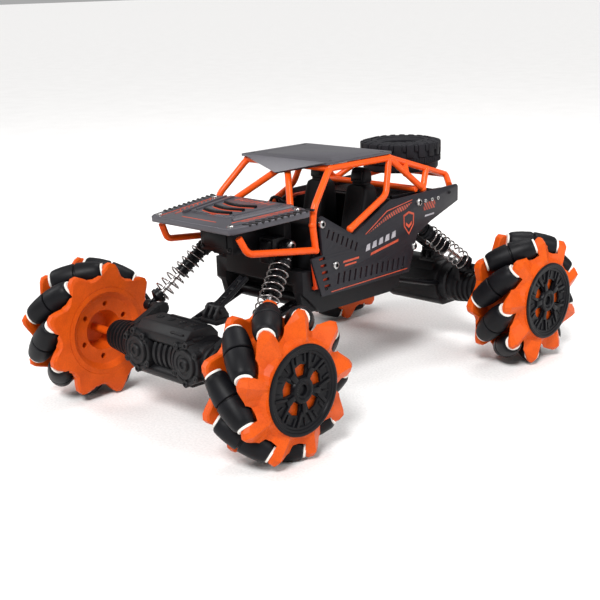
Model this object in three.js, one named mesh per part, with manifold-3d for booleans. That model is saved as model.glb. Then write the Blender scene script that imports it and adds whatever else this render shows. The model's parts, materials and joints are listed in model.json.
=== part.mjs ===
// Radio controlled stunt car with roller wheels. Millimetres, +Z up, front towards -Y, left side +X.
// The origin is on the ground, midway between the axles.
import * as THREE from 'three';
import { mergeVertices } from 'three/addons/utils/BufferGeometryUtils.js';
import Module from 'manifold-3d';

const wasm = await Module();
wasm.setup();

// ---- driving dimensions ----
const WHEELBASE = 240.6;
const WHEEL_Z = 45.7;            // wheel centre above the ground

const ROLLERS = 9;               // in each wheel
const FLANGE_IN_X = 72.2;        // inner face of the inner star flange, from the car's centre plane
const FLANGE_OUT_X = 108.4;      // outer face of the outer star flange
const FLANGE_THICK = 6.0;
const LOBE_R = 45.0;
const VALLEY_R = 36.5;
const DRUM_R = 26.0;
const CAP_R = 26.7;
const CAP_X = 111.1;             // outer face of the hub cap
const SHAFT_R = 2.5;

const PIN_R = 40.2;              // roller pin's distance from the wheel axis at the flanges
const PIN_TWIST = 46;            // degrees from a pin's inner lobe to its outer lobe
const ROLLER_HALF = 17.0;
const ROLLER_MID_R = 9.0;
const ROLLER_END_R = 6.3;

const TUBE_R = 2.2;              // roll cage tube
const PANEL_X = 46.0;            // outer face of the side panels
const PANEL_THICK = 1.6;

const AXLE_PIVOT = { y: 40, z: 66 };              // chassis pivot of each swing arm (y for the rear axle)
const ARM_PIN_R = 1.6;
// The eyes of the left shock absorbers; y counts outwards from the middle of the car.
const SHOCKS = {
  front: { top: { x: 33, y: 54, z: 105.5 }, foot: { x: 51.5, y: 100, z: 62.5 } },
  rear: { top: { x: 34.5, y: 66, z: 101.5 }, foot: { x: 51.5, y: 112, z: 61.5 } },
};
const SHOCK_ROD_R = 1.4;
const SHOCK_BODY_R = 4.3;
const COLLAR_R = 6.0;             // holds the top of the spring

const ORANGE = 0xf4571a;
const BLACK = 0x26252a;
const SATIN = 0x5b5960;
const RUBBER = 0x222226;
const STEEL = 0xc9c9cc;

const rad = (degrees) => degrees * Math.PI / 180;
const X = new THREE.Vector3(1, 0, 0);
const Y = new THREE.Vector3(0, 1, 0);
const Z = new THREE.Vector3(0, 0, 1);
const vec = (x, y, z) => new THREE.Vector3(x, y, z);

// ---- solids ----
function solid(geometry) {
  const bare = geometry.index ? geometry.toNonIndexed() : geometry.clone();
  bare.deleteAttribute('normal');
  bare.deleteAttribute('uv');
  const merged = mergeVertices(bare, 1e-4);
  return new wasm.Manifold(new wasm.Mesh({
    numProp: 3,
    vertProperties: new Float32Array(merged.attributes.position.array),
    triVerts: new Uint32Array(merged.index.array),
  }));
}

function toGeometry(manifold) {
  const mesh = manifold.getMesh();
  const geometry = new THREE.BufferGeometry();
  geometry.setAttribute('position', new THREE.BufferAttribute(new Float32Array(mesh.vertProperties), 3));
  geometry.setIndex(new THREE.BufferAttribute(new Uint32Array(mesh.triVerts), 1));
  geometry.computeVertexNormals();
  return geometry;
}

const joined = (solids) => solids.reduce((whole, next) => whole.add(next));
const cut = (whole, solids) => solids.reduce((left, next) => left.subtract(next), whole);

function block(x0, x1, y0, y1, z0, z1) {
  const geometry = new THREE.BoxGeometry(x1 - x0, y1 - y0, z1 - z0);
  return solid(geometry.translate((x0 + x1) / 2, (y0 + y1) / 2, (z0 + z1) / 2));
}

// A round bar from one point to another.
function rod(from, to, radius, sides = 8, endRadius = radius) {
  const way = to.clone().sub(from);
  const geometry = new THREE.CylinderGeometry(endRadius, radius, way.length(), sides);
  geometry.applyQuaternion(new THREE.Quaternion().setFromUnitVectors(Y, way.clone().normalize()));
  return solid(geometry.translate(...from.clone().add(to).multiplyScalar(0.5).toArray()));
}

// An outline drawn in the car's Y and Z, with its thickness along X from x0 to x1.
function sidePlate(points, x0, x1) {
  const shape = new THREE.Shape(points.map(([y, z]) => new THREE.Vector2(y, z)));
  const geometry = new THREE.ExtrudeGeometry(shape, { depth: x1 - x0, bevelEnabled: false });
  geometry.applyMatrix4(new THREE.Matrix4().makeBasis(Y, Z, X));
  return solid(geometry.translate(x0, 0, 0));
}

// A shape turned about the X axis from (x, radius) points that start and end on the axis.
function turned(profile, sides) {
  const points = profile.map(([along, radius]) => new THREE.Vector2(radius, along));
  const geometry = new THREE.LatheGeometry(points, sides);
  geometry.rotateZ(-Math.PI / 2);
  const made = solid(geometry);
  return made.volume() > 0 ? made : solid(flipped(geometry));
}

function flipped(geometry) {
  const copy = geometry.toNonIndexed();
  const p = copy.attributes.position.array;
  for (let i = 0; i < p.length; i += 9) {
    for (let k = 0; k < 3; k += 1) {
      [p[i + 3 + k], p[i + 6 + k]] = [p[i + 6 + k], p[i + 3 + k]];
    }
  }
  return copy;
}

function mirroredX(manifold) {
  return manifold.mirror([1, 0, 0]);
}

function mirroredY(manifold) {
  return manifold.mirror([0, 1, 0]);
}

const car = new THREE.Group();

function addPart(name, manifold, color, roughness, metalness = 0) {
  const material = new THREE.MeshStandardMaterial({ color, roughness, metalness });
  const mesh = new THREE.Mesh(toGeometry(manifold), material);
  mesh.name = name;
  car.add(mesh);
}

// ---- wheels ----
// Each wheel is described for the left side, then mirrored. Twist is +1 where a pin climbs from the
// inner lobe to the outer lobe in the direction of rising angle about +X.
const WHEELS = [
  { name: 'front_left', side: 1, y: -WHEELBASE / 2, phase: -2, twist: 1 },
  { name: 'front_right', side: -1, y: -WHEELBASE / 2, phase: 0, twist: 1 },
  { name: 'rear_left', side: 1, y: WHEELBASE / 2, phase: 21, twist: -1 },
  { name: 'rear_right', side: -1, y: WHEELBASE / 2, phase: 21, twist: -1 },
];

const polar = (x, radius, angle) => vec(x, radius * Math.cos(rad(angle)), radius * Math.sin(rad(angle)));

function pinEnds(phase, twist) {
  const half = FLANGE_THICK / 2;
  return [
    polar(FLANGE_IN_X + half, PIN_R, phase),
    polar(FLANGE_OUT_X - half, PIN_R, phase + twist * PIN_TWIST),
  ];
}

const ROLLER_PROFILE = [
  [-ROLLER_HALF, 0],
  [-ROLLER_HALF, ROLLER_END_R],
  [-ROLLER_HALF / 2, ROLLER_MID_R - 0.75],
  [0, ROLLER_MID_R],
  [ROLLER_HALF / 2, ROLLER_MID_R - 0.75],
  [ROLLER_HALF, ROLLER_END_R],
  [ROLLER_HALF, 0],
];

// The room that a roller turns in, cut from the flanges.
const ROOM_PROFILE = [
  [-ROLLER_HALF - 0.6, 0],
  [-ROLLER_HALF - 0.6, ROLLER_END_R + 1.7],
  [0, ROLLER_MID_R + 1.5],
  [ROLLER_HALF + 0.6, ROLLER_END_R + 1.7],
  [ROLLER_HALF + 0.6, 0],
];

// A shape turned from (along, radius) points about a roller's slanted pin, with its middle at 0.
function aboutPin(profile, phase, twist, sides) {
  const shape = turned(profile, sides);
  const [from, to] = pinEnds(phase, twist);
  const turn = new THREE.Quaternion().setFromUnitVectors(X, to.clone().sub(from).normalize());
  const middle = from.add(to).multiplyScalar(0.5);
  const place = new THREE.Matrix4().compose(middle, turn, vec(1, 1, 1));
  return shape.transform([...place.elements]);
}

// The star flange's outline: a lobe for each roller, steeper on the side that faces its pin.
function starFlange(x0, x1, phase, twist) {
  const lobe = [
    [-20, VALLEY_R], [-11, VALLEY_R + 1.5], [-6, LOBE_R - 1.5],
    [0, LOBE_R], [6, LOBE_R - 2.5], [13, VALLEY_R + 2],
  ];
  const points = [];
  for (let i = 0; i < ROLLERS; i += 1) {
    for (const [offset, radius] of (twist > 0 ? lobe : lobe.map(([a, r]) => [-a, r]).reverse())) {
      const angle = rad(phase + offset + i * 360 / ROLLERS);
      points.push([radius * Math.cos(angle), radius * Math.sin(angle)]);
    }
  }
  return sidePlate(points, x0, x1);
}

function wheelHub({ phase, twist }) {
  const outerPhase = phase + twist * PIN_TWIST;
  const drum = turned([
    [FLANGE_IN_X - 6, 0],
    [FLANGE_IN_X - 6, SHAFT_R],
    [88, SHAFT_R],
    [88, 10],
    [FLANGE_IN_X, 23],
    [FLANGE_IN_X, 29],
    [FLANGE_IN_X + FLANGE_THICK, DRUM_R],
    [FLANGE_OUT_X - FLANGE_THICK, DRUM_R],
    [FLANGE_OUT_X, 31],
    [FLANGE_OUT_X + 1.5, CAP_R],
    [CAP_X, CAP_R],
    [CAP_X, 0],
  ], 24);
  const whole = joined([
    drum,
    starFlange(FLANGE_IN_X, FLANGE_IN_X + FLANGE_THICK, phase, twist)
      .subtract(rod(vec(60, 0, 0), vec(90, 0, 0), 26, 24)),
    starFlange(FLANGE_OUT_X - FLANGE_THICK, FLANGE_OUT_X, outerPhase, twist),
  ]);
  const rooms = [];
  for (let i = 0; i < ROLLERS; i += 1) {
    rooms.push(aboutPin(ROOM_PROFILE, phase + i * 360 / ROLLERS, twist, 8));
  }
  return cut(whole, rooms);
}

for (const wheel of WHEELS) {
  const place = (manifold) => {
    const sided = wheel.side > 0 ? manifold : mirroredX(manifold);
    return sided.translate([0, wheel.y, WHEEL_Z]);
  };
  addPart(`wheel_hub_${wheel.name}`, place(wheelHub(wheel)), ORANGE, 0.45);
  for (let i = 0; i < ROLLERS; i += 1) {
    const made = aboutPin(ROLLER_PROFILE, wheel.phase + i * 360 / ROLLERS, wheel.twist, 10);
    addPart(`roller_${wheel.name}_${i + 1}`, place(made), RUBBER, 0.6);
  }
}

// ---- beam axles: gearbox housing, boots, lower swing arms, link stubs and shock lugs ----
// Drawn for the front, mirrored for the rear.
function axleHousing({ foot }) {
  const y = -WHEELBASE / 2;
  const pivot = vec(0, -AXLE_PIVOT.y, AXLE_PIVOT.z);
  const lid = sidePlate([
    [y - 12, 52], [y - 12, 60], [y - 7, 65.5], [y + 9, 65.5], [y + 14, 60], [y + 14, 52],
  ], -24, 24);
  const skid = sidePlate([
    [y - 9, 29.5], [y - 14, 36], [y - 12, 53], [y + 14, 53], [y + 14, 36], [y + 8, 29.5],
  ], -25, 25);
  const tube = rod(vec(-44, y, WHEEL_Z), vec(44, y, WHEEL_Z), 11.5, 16);
  const parts = [lid, skid, tube];
  for (const side of [-1, 1]) {
    parts.push(rod(vec(side * 23.4, y + 12, WHEEL_Z), vec(side * 23.4, y - 15.5, WHEEL_Z), 13, 16));
    parts.push(rod(vec(side * 34, y, WHEEL_Z), vec(side * 62, y, WHEEL_Z), 12.8, 16, 9.5));
    // shock lug
    parts.push(sidePlate([
      [y - 4, 50], [y + 10, 50], [4 - foot.y, foot.z - 1], [4 - foot.y, foot.z + 3.5],
      [-4 - foot.y, foot.z + 3.5], [y - 4, 57],
    ], side * 39.4 - 2.8, side * 39.4 + 2.8));
    // lower swing arm with its pivot eye
    const elbow = vec(side * 24, y + 26, 50);
    parts.push(rod(vec(side * 20, y + 6, 47), elbow, 4, 8));
    parts.push(rod(elbow, vec(side * 27, pivot.y, pivot.z), 4, 8));
  }
  // the upper link, on the left only and short of its chassis end
  parts.push(rod(vec(17, y + 4, 64), vec(21, y + 38, 88), 3, 6));
  const crossTube = rod(vec(-27.5, pivot.y, pivot.z), vec(27.5, pivot.y, pivot.z), 4.4, 12);
  const bores = [-1, 1].map((side) => (
    rod(vec(side * 40, y, WHEEL_Z), vec(side * 70, y, WHEEL_Z), SHAFT_R + 0.5, 12)
  ));
  const pinHole = rod(vec(-40, pivot.y, pivot.z), vec(40, pivot.y, pivot.z), ARM_PIN_R + 0.5, 10);
  return cut(joined([...parts, crossTube]), [...bores, pinHole]);
}

addPart('front_axle_housing', axleHousing(SHOCKS.front), BLACK, 0.5);
addPart('rear_axle_housing', mirroredY(axleHousing(SHOCKS.rear)), BLACK, 0.5);

// ---- shock absorbers ----
// A point on the way from the upper eye to the lower one, for the front left corner.
function shockPoint({ top, foot }, along) {
  return vec(top.x, -top.y, top.z).lerp(vec(foot.x, -foot.y, foot.z), along);
}

function shockEye(centre, radius) {
  return rod(centre.clone().add(vec(-3, 0, 0)), centre.clone().add(vec(3, 0, 0)), radius, 10);
}

function shockCylinder(shock) {
  const between = (from, to, radius) => rod(shockPoint(shock, from), shockPoint(shock, to), radius, 10);
  const whole = joined([
    shockEye(shockPoint(shock, 0), 4),
    between(0.05, 0.55, SHOCK_BODY_R),
    between(0.18, 0.24, COLLAR_R),
  ]);
  return whole.subtract(between(0.26, 0.6, SHOCK_ROD_R + 0.4));
}

function shockRod(shock) {
  const between = (from, to, radius) => rod(shockPoint(shock, from), shockPoint(shock, to), radius, 10);
  return joined([
    shockEye(shockPoint(shock, 1), 3.6),
    between(0.42, 0.98, SHOCK_ROD_R),
    between(0.84, 0.92, 5.8),
  ]);
}

for (const [end, shock] of Object.entries(SHOCKS)) {
  for (const side of ['left', 'right']) {
    const place = (manifold) => {
      const sided = side === 'left' ? manifold : mirroredX(manifold);
      return end === 'front' ? sided : mirroredY(sided);
    };
    addPart(`shock_cylinder_${end}_${side}`, place(shockCylinder(shock)), BLACK, 0.4);
    addPart(`shock_rod_${end}_${side}`, place(shockRod(shock)), STEEL, 0.25, 0.9);
  }
}

// ---- chassis tub with the shock towers and arm pivots ----
function chassisTub() {
  const floorPan = sidePlate([
    [-50, 74], [-34, 59], [34, 59], [50, 74], [50, 88], [42, 88], [42, 75], [-42, 75], [-42, 88], [-50, 88],
  ], -41, 41);
  const parts = [floorPan];
  const armPins = [];
  for (const [end, { top }] of [[-1, SHOCKS.front], [1, SHOCKS.rear]]) {
    const front = end < 0;
    parts.push(front ? block(-28, 28, -52, -46, 80, 118) : block(-36, 36, 46, 52, 80, 112));
    // tower box between the shock absorbers
    parts.push(front ? block(-15, 15, -84, -48, 102, 117) : block(-16.5, 16.5, 48, 84, 94, 112));
    const armPin = rod(
      vec(-36, end * AXLE_PIVOT.y, AXLE_PIVOT.z),
      vec(36, end * AXLE_PIVOT.y, AXLE_PIVOT.z), ARM_PIN_R, 10);
    armPins.push(armPin);
    for (const side of [-1, 1]) {
      // shock tower arm with its eye pin
      parts.push(block(side * 20.8 - 7.2, side * 20.8 + 7.2, end * top.y - 8, end * top.y + 8, 97, 110));
      parts.push(rod(
        vec(side * 26, end * top.y, top.z), vec(side * (top.x - 3.8), end * top.y, top.z), 3, 10));
      // cheek outside each swing arm eye
      parts.push(sidePlate([
        [end * 42 - 8, 75], [end * 40 - 6, 60], [end * 40 + 6, 60], [end * 42 + 8, 75],
      ], side * 35.1 - 2.6, side * 35.1 + 2.6));
    }
  }
  const armRooms = [-1, 1].map((end) => joined([
    rod(vec(-32, end * AXLE_PIVOT.y, AXLE_PIVOT.z), vec(32, end * AXLE_PIVOT.y, AXLE_PIVOT.z), 5.4, 16),
    sidePlate([
      [end * 35.5, 72.2], [end * 60, 84], [end * 60, 48], [end * 33.5, 48],
    ], -32, 32),
  ]));
  const bay = block(-34, 34, -31, 31, 61.5, 90);
  return joined([cut(joined(parts), [...armRooms, bay]), ...armPins]);
}

// ---- body ----
// The side panel's outline and its slots, in Y and Z.
const PANEL_OUTLINE = [
  [-46.6, 96.8], [-36.2, 97.6], [-38.6, 121.6], [-36, 122.6], [-7.4, 106], [29.2, 122.6], [100.2, 124],
  [101.6, 122.4], [101.5, 112.4], [71, 102.2], [56.6, 95.6], [47.6, 71], [-38, 71],
];

function slotHole(y, z, length, width, lean) {
  const half = vec(Math.cos(rad(lean)), Math.sin(rad(lean)), 0).multiplyScalar(length / 2);
  const wide = vec(-half.y, half.x, 0).normalize().multiplyScalar(width / 2);
  return [[1, 1], [-1, 1], [-1, -1], [1, -1]].map(([a, b]) => [
    y + a * half.x + b * wide.x,
    z + a * half.y + b * wide.y,
  ]);
}

function panelSlots() {
  const slots = [];
  for (let i = 0; i < 5; i += 1) {
    slots.push(slotHole(-37 + i * 1.1, 95.4 - i * 4.6, 5.4, 1.9, 2));
  }
  for (let i = 0; i < 7; i += 1) {
    slots.push(slotHole(-31 + i * 4.3, 110.4 - i * 2.1, 5.6, 1.4, 68));
  }
  for (let i = 0; i < 13; i += 1) {
    slots.push(slotHole(-22.5 + i * 5.35, 80 - i * 0.1, 7.4, 1.5, 78));
  }
  return slots;
}

function sidePanel() {
  const plate = sidePlate(PANEL_OUTLINE, PANEL_X - PANEL_THICK, PANEL_X);
  return cut(plate, panelSlots().map((slot) => sidePlate(slot, PANEL_X - 4, PANEL_X + 2)));
}

// The bright inner body: two side walls and a floor over the chassis tub.
function innerBody() {
  const wallOutline = [
    [-41, 76], [-43, 94.5], [-33.5, 95.5], [-35, 117], [-8, 102.8], [28, 119], [60, 119], [46, 76],
  ];
  const left = sidePlate(wallOutline, 41.5, 44.0);
  const floor = block(-42, 42, -40.5, 40.5, 75.3, 77);
  return joined([left, mirroredX(left), floor]);
}

// Seats, dashboard, steering wheel and rear deck, one moulding.
function cabInterior() {
  const parts = [
    block(-40, 40, -40, 40, 77.4, 80),
    sidePlate([[-40, 79], [-40, 116], [-33, 119], [-26, 112], [-26, 79]], -40.6, 40.6),
    sidePlate([[38, 79], [39, 121.8], [98, 119.8], [98, 113.4], [42, 113.4], [41.6, 79]], -38.4, 38.4),
  ];
  for (const side of [-1, 1]) {
    parts.push(sidePlate([
      [-4, 79], [-6, 92], [4, 96], [14, 93], [20, 112], [25, 131], [27, 142], [33, 142.5], [35, 131],
      [38, 112], [38.5, 79],
    ], side * 19 - 10.5, side * 19 + 10.5));
  }
  const hub = vec(-19, -29, 110);
  const rim = vec(-19, -9, 118);
  parts.push(rod(hub, rim, 1.8, 8));
  parts.push(rod(rim, rim.clone().add(vec(0, 2.4, 0.9)), 8.5, 14));
  return joined(parts);
}

// The bonnet: a flat plate with a raised middle and rolled edges.
function hoodPlate() {
  const [front, height, thick, slope] = [-105, 124.6, 4, Math.atan2(3.8, 61.4)];
  const outline = [
    [-39, -102], [-36.5, -105.5], [36.5, -105.5], [39, -102], [47.6, -49], [45.5, -46], [31, -43.6],
    [-31, -43.6], [-45.5, -46], [-47.6, -49],
  ];
  const plate = (points, low, high) => {
    const shape = new THREE.Shape(points.map(([x, y]) => new THREE.Vector2(x, y - front)));
    const geometry = new THREE.ExtrudeGeometry(shape, { depth: high - low, bevelEnabled: false });
    geometry.translate(0, 0, low);
    geometry.rotateX(slope);
    return solid(geometry.translate(0, front, height));
  };
  const raised = [[-21, -86], [21, -86], [29, -45], [-29, -45]];
  return joined([plate(outline, -thick, 0), plate(raised, -0.4, 1.3)]);
}

function roofPlate() {
  const plate = block(-39.6, 39.6, -24, 38, 152.3, 154);
  const visor = solid(new THREE.BufferGeometry().setFromPoints(visorTriangles()));
  return joined([plate, visor]);
}

// The drooping front of the roof, a thin folded pair of triangles with its apex on the centre line.
function visorTriangles() {
  const top = [vec(-39.6, -24, 154), vec(39.6, -24, 154), vec(0, -31.6, 145.4)];
  const low = [vec(-39.6, -22.4, 152.6), vec(39.6, -22.4, 152.6), vec(0, -29.6, 144.4)];
  const [a, b, c] = top;
  const [d, e, f] = low;
  const faces = [[a, c, b], [d, e, f], [a, b, e], [a, e, d], [b, c, f], [b, f, e], [c, a, d], [c, d, f]];
  return faces.flat();
}

// The roll cage, one welded frame: tubes between named joints on the left, mirrored to the right.
function rollCage() {
  const at = {
    hoodFront: vec(36.4, -97.6, 118),
    sideBend: vec(38.2, -92.4, 107.4),
    sideFoot: vec(43.8, -40.4, 101.4),
    cowl: vec(44.6, -43.4, 118.0),
    cowlTop: vec(44.4, -41.6, 128.2),
    roofFront: vec(38.2, -20.5, 149.8),
    roofRear: vec(38.6, 36.5, 149.6),
    strutFoot: vec(23.6, -40.6, 129.4),
    strutTop: vec(6.0, -25.5, 144.6),
    midFoot: vec(43.2, 27.6, 126.4),
    midLow: vec(43.8, -8.2, 109.6),
    railEnd: vec(27.0, 112.0, 127.6),
    tailFoot: vec(40.2, 99.0, 123.0),
    diagonalFoot: vec(41.2, 68.6, 124.6),
    braceHigh: vec(35.5, 56.0, 143.8),
    braceLow: vec(40.4, 52.0, 136.2),
    roofFrontMid: vec(0, -21.5, 149.4),
    railMid: vec(31.6, 84.0, 136.3),
  };
  const tube = (from, to, sides = 6) => {
    const way = to.clone().sub(from).normalize().multiplyScalar(0.6);
    return rod(from.clone().sub(way), to.clone().add(way), TUBE_R, sides);
  };
  const left = [
    [at.sideBend, at.sideFoot], [at.hoodFront, at.sideBend], [at.sideFoot, at.cowl], [at.cowl, at.cowlTop],
    [at.cowlTop, at.roofFront], [at.roofFront, at.roofRear], [at.roofRear, at.midFoot],
    [at.roofRear, at.railEnd], [at.roofRear, at.diagonalFoot], [at.diagonalFoot, at.railMid],
    [at.braceHigh, at.braceLow], [at.strutTop, at.roofFrontMid], [at.strutFoot, at.strutTop],
    [at.railEnd, at.tailFoot], [at.midFoot, at.midLow],
  ].map(([from, to]) => tube(from, to));
  const half = joined(left);
  const across = (point) => tube(point, vec(-point.x, point.y, point.z));
  const cross = [
    across(at.roofFront),
    across(at.roofRear),
    across(at.railEnd),
    across(vec(40.6, 62, 125.4)),
  ];
  return joined([half, mirroredX(half), ...cross]);
}

// The spare lies flat above the rear deck, narrower at the bottom where the cage rails pass.
function spareTyre() {
  const [y, bottom, height, bore] = [94, 132, 22.2, 13];
  const ring = turned([[0, 0], [0, 27], [5, 27], [6.5, 29], [height, 29], [height, 0]], 24)
    .rotate([0, -90, 0])
    .translate([0, y, bottom]);
  return ring.subtract(rod(vec(0, y, bottom - 2), vec(0, y, bottom + height + 2), bore, 16));
}

addPart('chassis_tub', chassisTub(), BLACK, 0.55);
addPart('inner_body', innerBody(), ORANGE, 0.5);
addPart('side_panel_left', sidePanel(), BLACK, 0.5);
addPart('side_panel_right', mirroredX(sidePanel()), BLACK, 0.5);
addPart('cab_interior', cabInterior(), BLACK, 0.6);
addPart('hood_plate', hoodPlate(), SATIN, 0.4, 0.3);
addPart('roof_plate', roofPlate(), SATIN, 0.4, 0.3);
addPart('roll_cage', rollCage(), ORANGE, 0.4);
addPart('spare_tyre', spareTyre(), RUBBER, 0.7);
addPart('battery_pack', block(-16, 16, -24, 24, 61.8, 74), BLACK, 0.4);

export default car;
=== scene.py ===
import json
import math

import bmesh
import bpy
from bpy.props import FloatProperty, FloatVectorProperty, IntProperty, PointerProperty
from mathutils import Matrix, Vector


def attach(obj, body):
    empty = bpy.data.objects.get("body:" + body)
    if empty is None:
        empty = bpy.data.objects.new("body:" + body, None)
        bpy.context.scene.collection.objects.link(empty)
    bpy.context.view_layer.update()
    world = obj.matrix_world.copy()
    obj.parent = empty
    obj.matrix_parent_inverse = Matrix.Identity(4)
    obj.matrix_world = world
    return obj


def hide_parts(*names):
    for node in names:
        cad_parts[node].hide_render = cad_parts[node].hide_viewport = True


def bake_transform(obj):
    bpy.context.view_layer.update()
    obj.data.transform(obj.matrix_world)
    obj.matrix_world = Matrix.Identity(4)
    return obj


bl_info = {"name": "Stunt Car Finisher", "version": (1, 0, 0), "blender": (4, 5, 0),
    "location": "3D View > Sidebar > Stunt Car",
    "description": "Builds the finished look of a radio controlled stunt car around its frame",
    "category": "Object",}

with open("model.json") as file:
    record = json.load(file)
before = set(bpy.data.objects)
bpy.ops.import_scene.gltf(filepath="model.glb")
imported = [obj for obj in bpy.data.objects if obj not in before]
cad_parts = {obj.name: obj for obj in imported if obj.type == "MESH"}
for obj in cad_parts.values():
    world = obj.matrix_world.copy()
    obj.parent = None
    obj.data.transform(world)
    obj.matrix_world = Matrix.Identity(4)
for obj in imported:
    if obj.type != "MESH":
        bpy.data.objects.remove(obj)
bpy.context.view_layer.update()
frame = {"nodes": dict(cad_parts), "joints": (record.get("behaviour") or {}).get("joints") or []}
JOINTS = {joint["name"]: joint for joint in frame["joints"]}

MM = 0.001
X, Y, Z = Vector((1, 0, 0)), Vector((0, 1, 0)), Vector((0, 0, 1))
WHEELS = ("front_left", "front_right", "rear_left", "rear_right")
ROLLERS = 9
PIN_HALF_TWIST = 23        # degrees from the middle of a pin to either of its ends
SHOCK_LENGTH = {"front": 65.6, "rear": 63.3}     # from the top eye to the foot eye
SPRING_SEATS = (0.247, 0.853)     # where a spring starts and ends, as shares of the shock's length
AXLE_Y = 120.3             # an axle's line, before or behind the middle of the car
WHEEL_Z = 45.7             # height of the wheel axes
COVER_X = 23.4             # middle of a front gearbox cover, from the centre plane
COVER_RIM = 12.4           # radius of the ring of screws on a gearbox cover
LID_SCREWS = (-16, -5.3, 5.3, 16)
LID_Y, LINK_X = 1.3, 20    # the row of lid screws, and the upper link
ARM_PIN = (40, 66)         # the swing arms' pin in the chassis, as y and z
PANEL_FACE = 46            # outer face of a side panel, from the centre plane
SEAT_X = 19                # middle of a seat, from the centre plane
ROOF_TOP = 153.1           # where the roof screws sit


# ---- small tools ----
def mm(x, y, z):
    """A place given in millimetres."""
    return Vector((x, y, z)) * MM


def linear(hex_colour):
    """An sRGB hex colour as the linear colour that shaders take."""
    channels = [int(hex_colour[i:i + 2], 16) / 255 for i in (1, 3, 5)]
    return (*[c / 12.92 if c <= 0.04045 else ((c + 0.055) / 1.055) ** 2.4 for c in channels], 1.0)


def select_only(*pieces):
    """Leaves object mode with these pieces selected and the last one active."""
    if bpy.context.object and bpy.context.object.mode != "OBJECT":
        bpy.ops.object.mode_set(mode="OBJECT")
    bpy.ops.object.select_all(action="DESELECT")
    for piece in pieces:
        piece.select_set(True)
        bpy.context.view_layer.objects.active = piece


def apply_modifier(piece, kind, **settings):
    """Runs one modifier on a piece and keeps the result."""
    select_only(piece)
    modifier = piece.modifiers.new(kind.title(), kind)
    for name, value in settings.items():
        setattr(modifier, name, value)
    bpy.ops.object.modifier_apply(modifier=modifier.name)
    return piece


def face_outwards(piece):
    """Welds doubled points and turns every face outwards."""
    select_only(piece)
    bpy.ops.object.mode_set(mode="EDIT")
    bpy.ops.mesh.select_all(action="SELECT")
    bpy.ops.mesh.remove_doubles(threshold=1e-6)
    bpy.ops.mesh.normals_make_consistent(inside=False)
    bpy.ops.object.mode_set(mode="OBJECT")
    return piece


def loft(name, rings, hoop=False):
    """A skin over rings of points: a filled circle is laid on the first ring, then extruded onto each next one.
    A hoop's last ring meets its first, so both end faces come off and the rings are merged."""
    select_only()
    bpy.ops.mesh.primitive_circle_add(vertices=len(rings[0]), radius=1, fill_type="NGON")
    piece = bpy.context.object
    piece.name = name
    bpy.ops.object.mode_set(mode="EDIT")
    for number, ring in enumerate(rings):
        if number:
            bpy.ops.mesh.extrude_region()
        mesh = bmesh.from_edit_mesh(piece.data)
        for vertex, place in zip([v for v in mesh.verts if v.select], ring):
            vertex.co = place
        bmesh.update_edit_mesh(piece.data)
    if hoop:
        bpy.ops.mesh.delete(type="ONLY_FACE")
        mesh = bmesh.from_edit_mesh(piece.data)
        mesh.faces.ensure_lookup_table()
        for face in mesh.faces:
            face.select_set(len(face.verts) == len(rings[0]) and len(rings[0]) > 4)
        bpy.ops.mesh.delete(type="ONLY_FACE")
    return face_outwards(piece)


def across(axis):
    """Two directions square to an axis and to each other."""
    side = axis.orthogonal().normalized()
    return side, axis.cross(side)


def turned(name, profile, start, axis, sides=32, hoop=False):
    """A round piece from (along, radius) steps in millimetres about an axis."""
    side, other = across(axis)
    angles = [math.tau * k / sides for k in range(sides)]
    return loft(name, [[start + axis * along * MM + (side * math.cos(a) + other * math.sin(a)) * radius * MM
                for a in angles] for along, radius in profile], hoop)


def plate(name, outline, low, high, axis="X", rounding=0):
    """A flat piece: its outline in millimetres, across the axis, between two planes."""
    place = {"X": lambda a, b, h: mm(h, a, b), "Y": lambda a, b, h: mm(a, h, b), "Z": lambda a, b,
        h: mm(a, b, h)}[axis]
    piece = loft(name, [[place(a, b, level) for a, b in outline] for level in (low, high)])
    return rounded(piece, rounding) if rounding else piece


def rounded(piece, width, segments=2, angle=30):
    """Rounds the edges that are sharper than an angle, by a width in millimetres."""
    return apply_modifier(piece, "BEVEL", width=width * MM, segments=segments, limit_method="ANGLE",
        angle_limit=math.radians(angle))


def block(name, centre, size, rounding=0.4, turn=(0, 0, 0)):
    """A moulded block with every edge rounded, sized in millimetres."""
    select_only()
    bpy.ops.mesh.primitive_cube_add(size=1, location=Vector(centre) * MM, rotation=[math.radians(a)
            for a in turn])
    piece = bpy.context.object
    piece.name = name
    piece.scale = Vector(size) * MM
    bpy.ops.object.transform_apply(location=True, rotation=True, scale=True)
    return rounded(piece, rounding)


def soft_path(points, bend, steps=6):
    """The points of a bent tube's centre line, each corner turned into a curve."""
    path = [points[0]]
    for before, corner, after in zip(points, points[1:], points[2:]):
        into, away = before - corner, after - corner
        start = corner + into.normalized() * min(bend * MM, into.length * 0.45)
        end = corner + away.normalized() * min(bend * MM, away.length * 0.45)
        path += [start * (1 - t) ** 2 + corner * 2 * t * (1 - t) + end * t * t for t in (k / steps
                for k in range(steps + 1))]
    return path + [points[-1]]


def tube(name, points, radius, bend=4):
    """A bent tube swept along its centre line and closed at both ends."""
    path = soft_path(points, bend) if len(points) > 2 else points
    curve = bpy.data.curves.new(name, "CURVE")
    curve.dimensions, curve.bevel_depth, curve.bevel_resolution, curve.use_fill_caps = "3D", radius * MM, 4, True
    spline = curve.splines.new("POLY")
    spline.points.add(len(path) - 1)
    for point, place in zip(spline.points, path):
        point.co = (*place, 1)
    piece = bpy.data.objects.new(name, curve)
    bpy.context.scene.collection.objects.link(piece)
    select_only(piece)
    bpy.ops.object.convert(target="MESH")
    return face_outwards(bpy.context.object)


def joined(name, pieces):
    """Several pieces as one object."""
    select_only(*pieces)
    if len(pieces) > 1:
        bpy.ops.object.join()
    piece = bpy.context.object
    piece.name = name
    return piece


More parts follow.
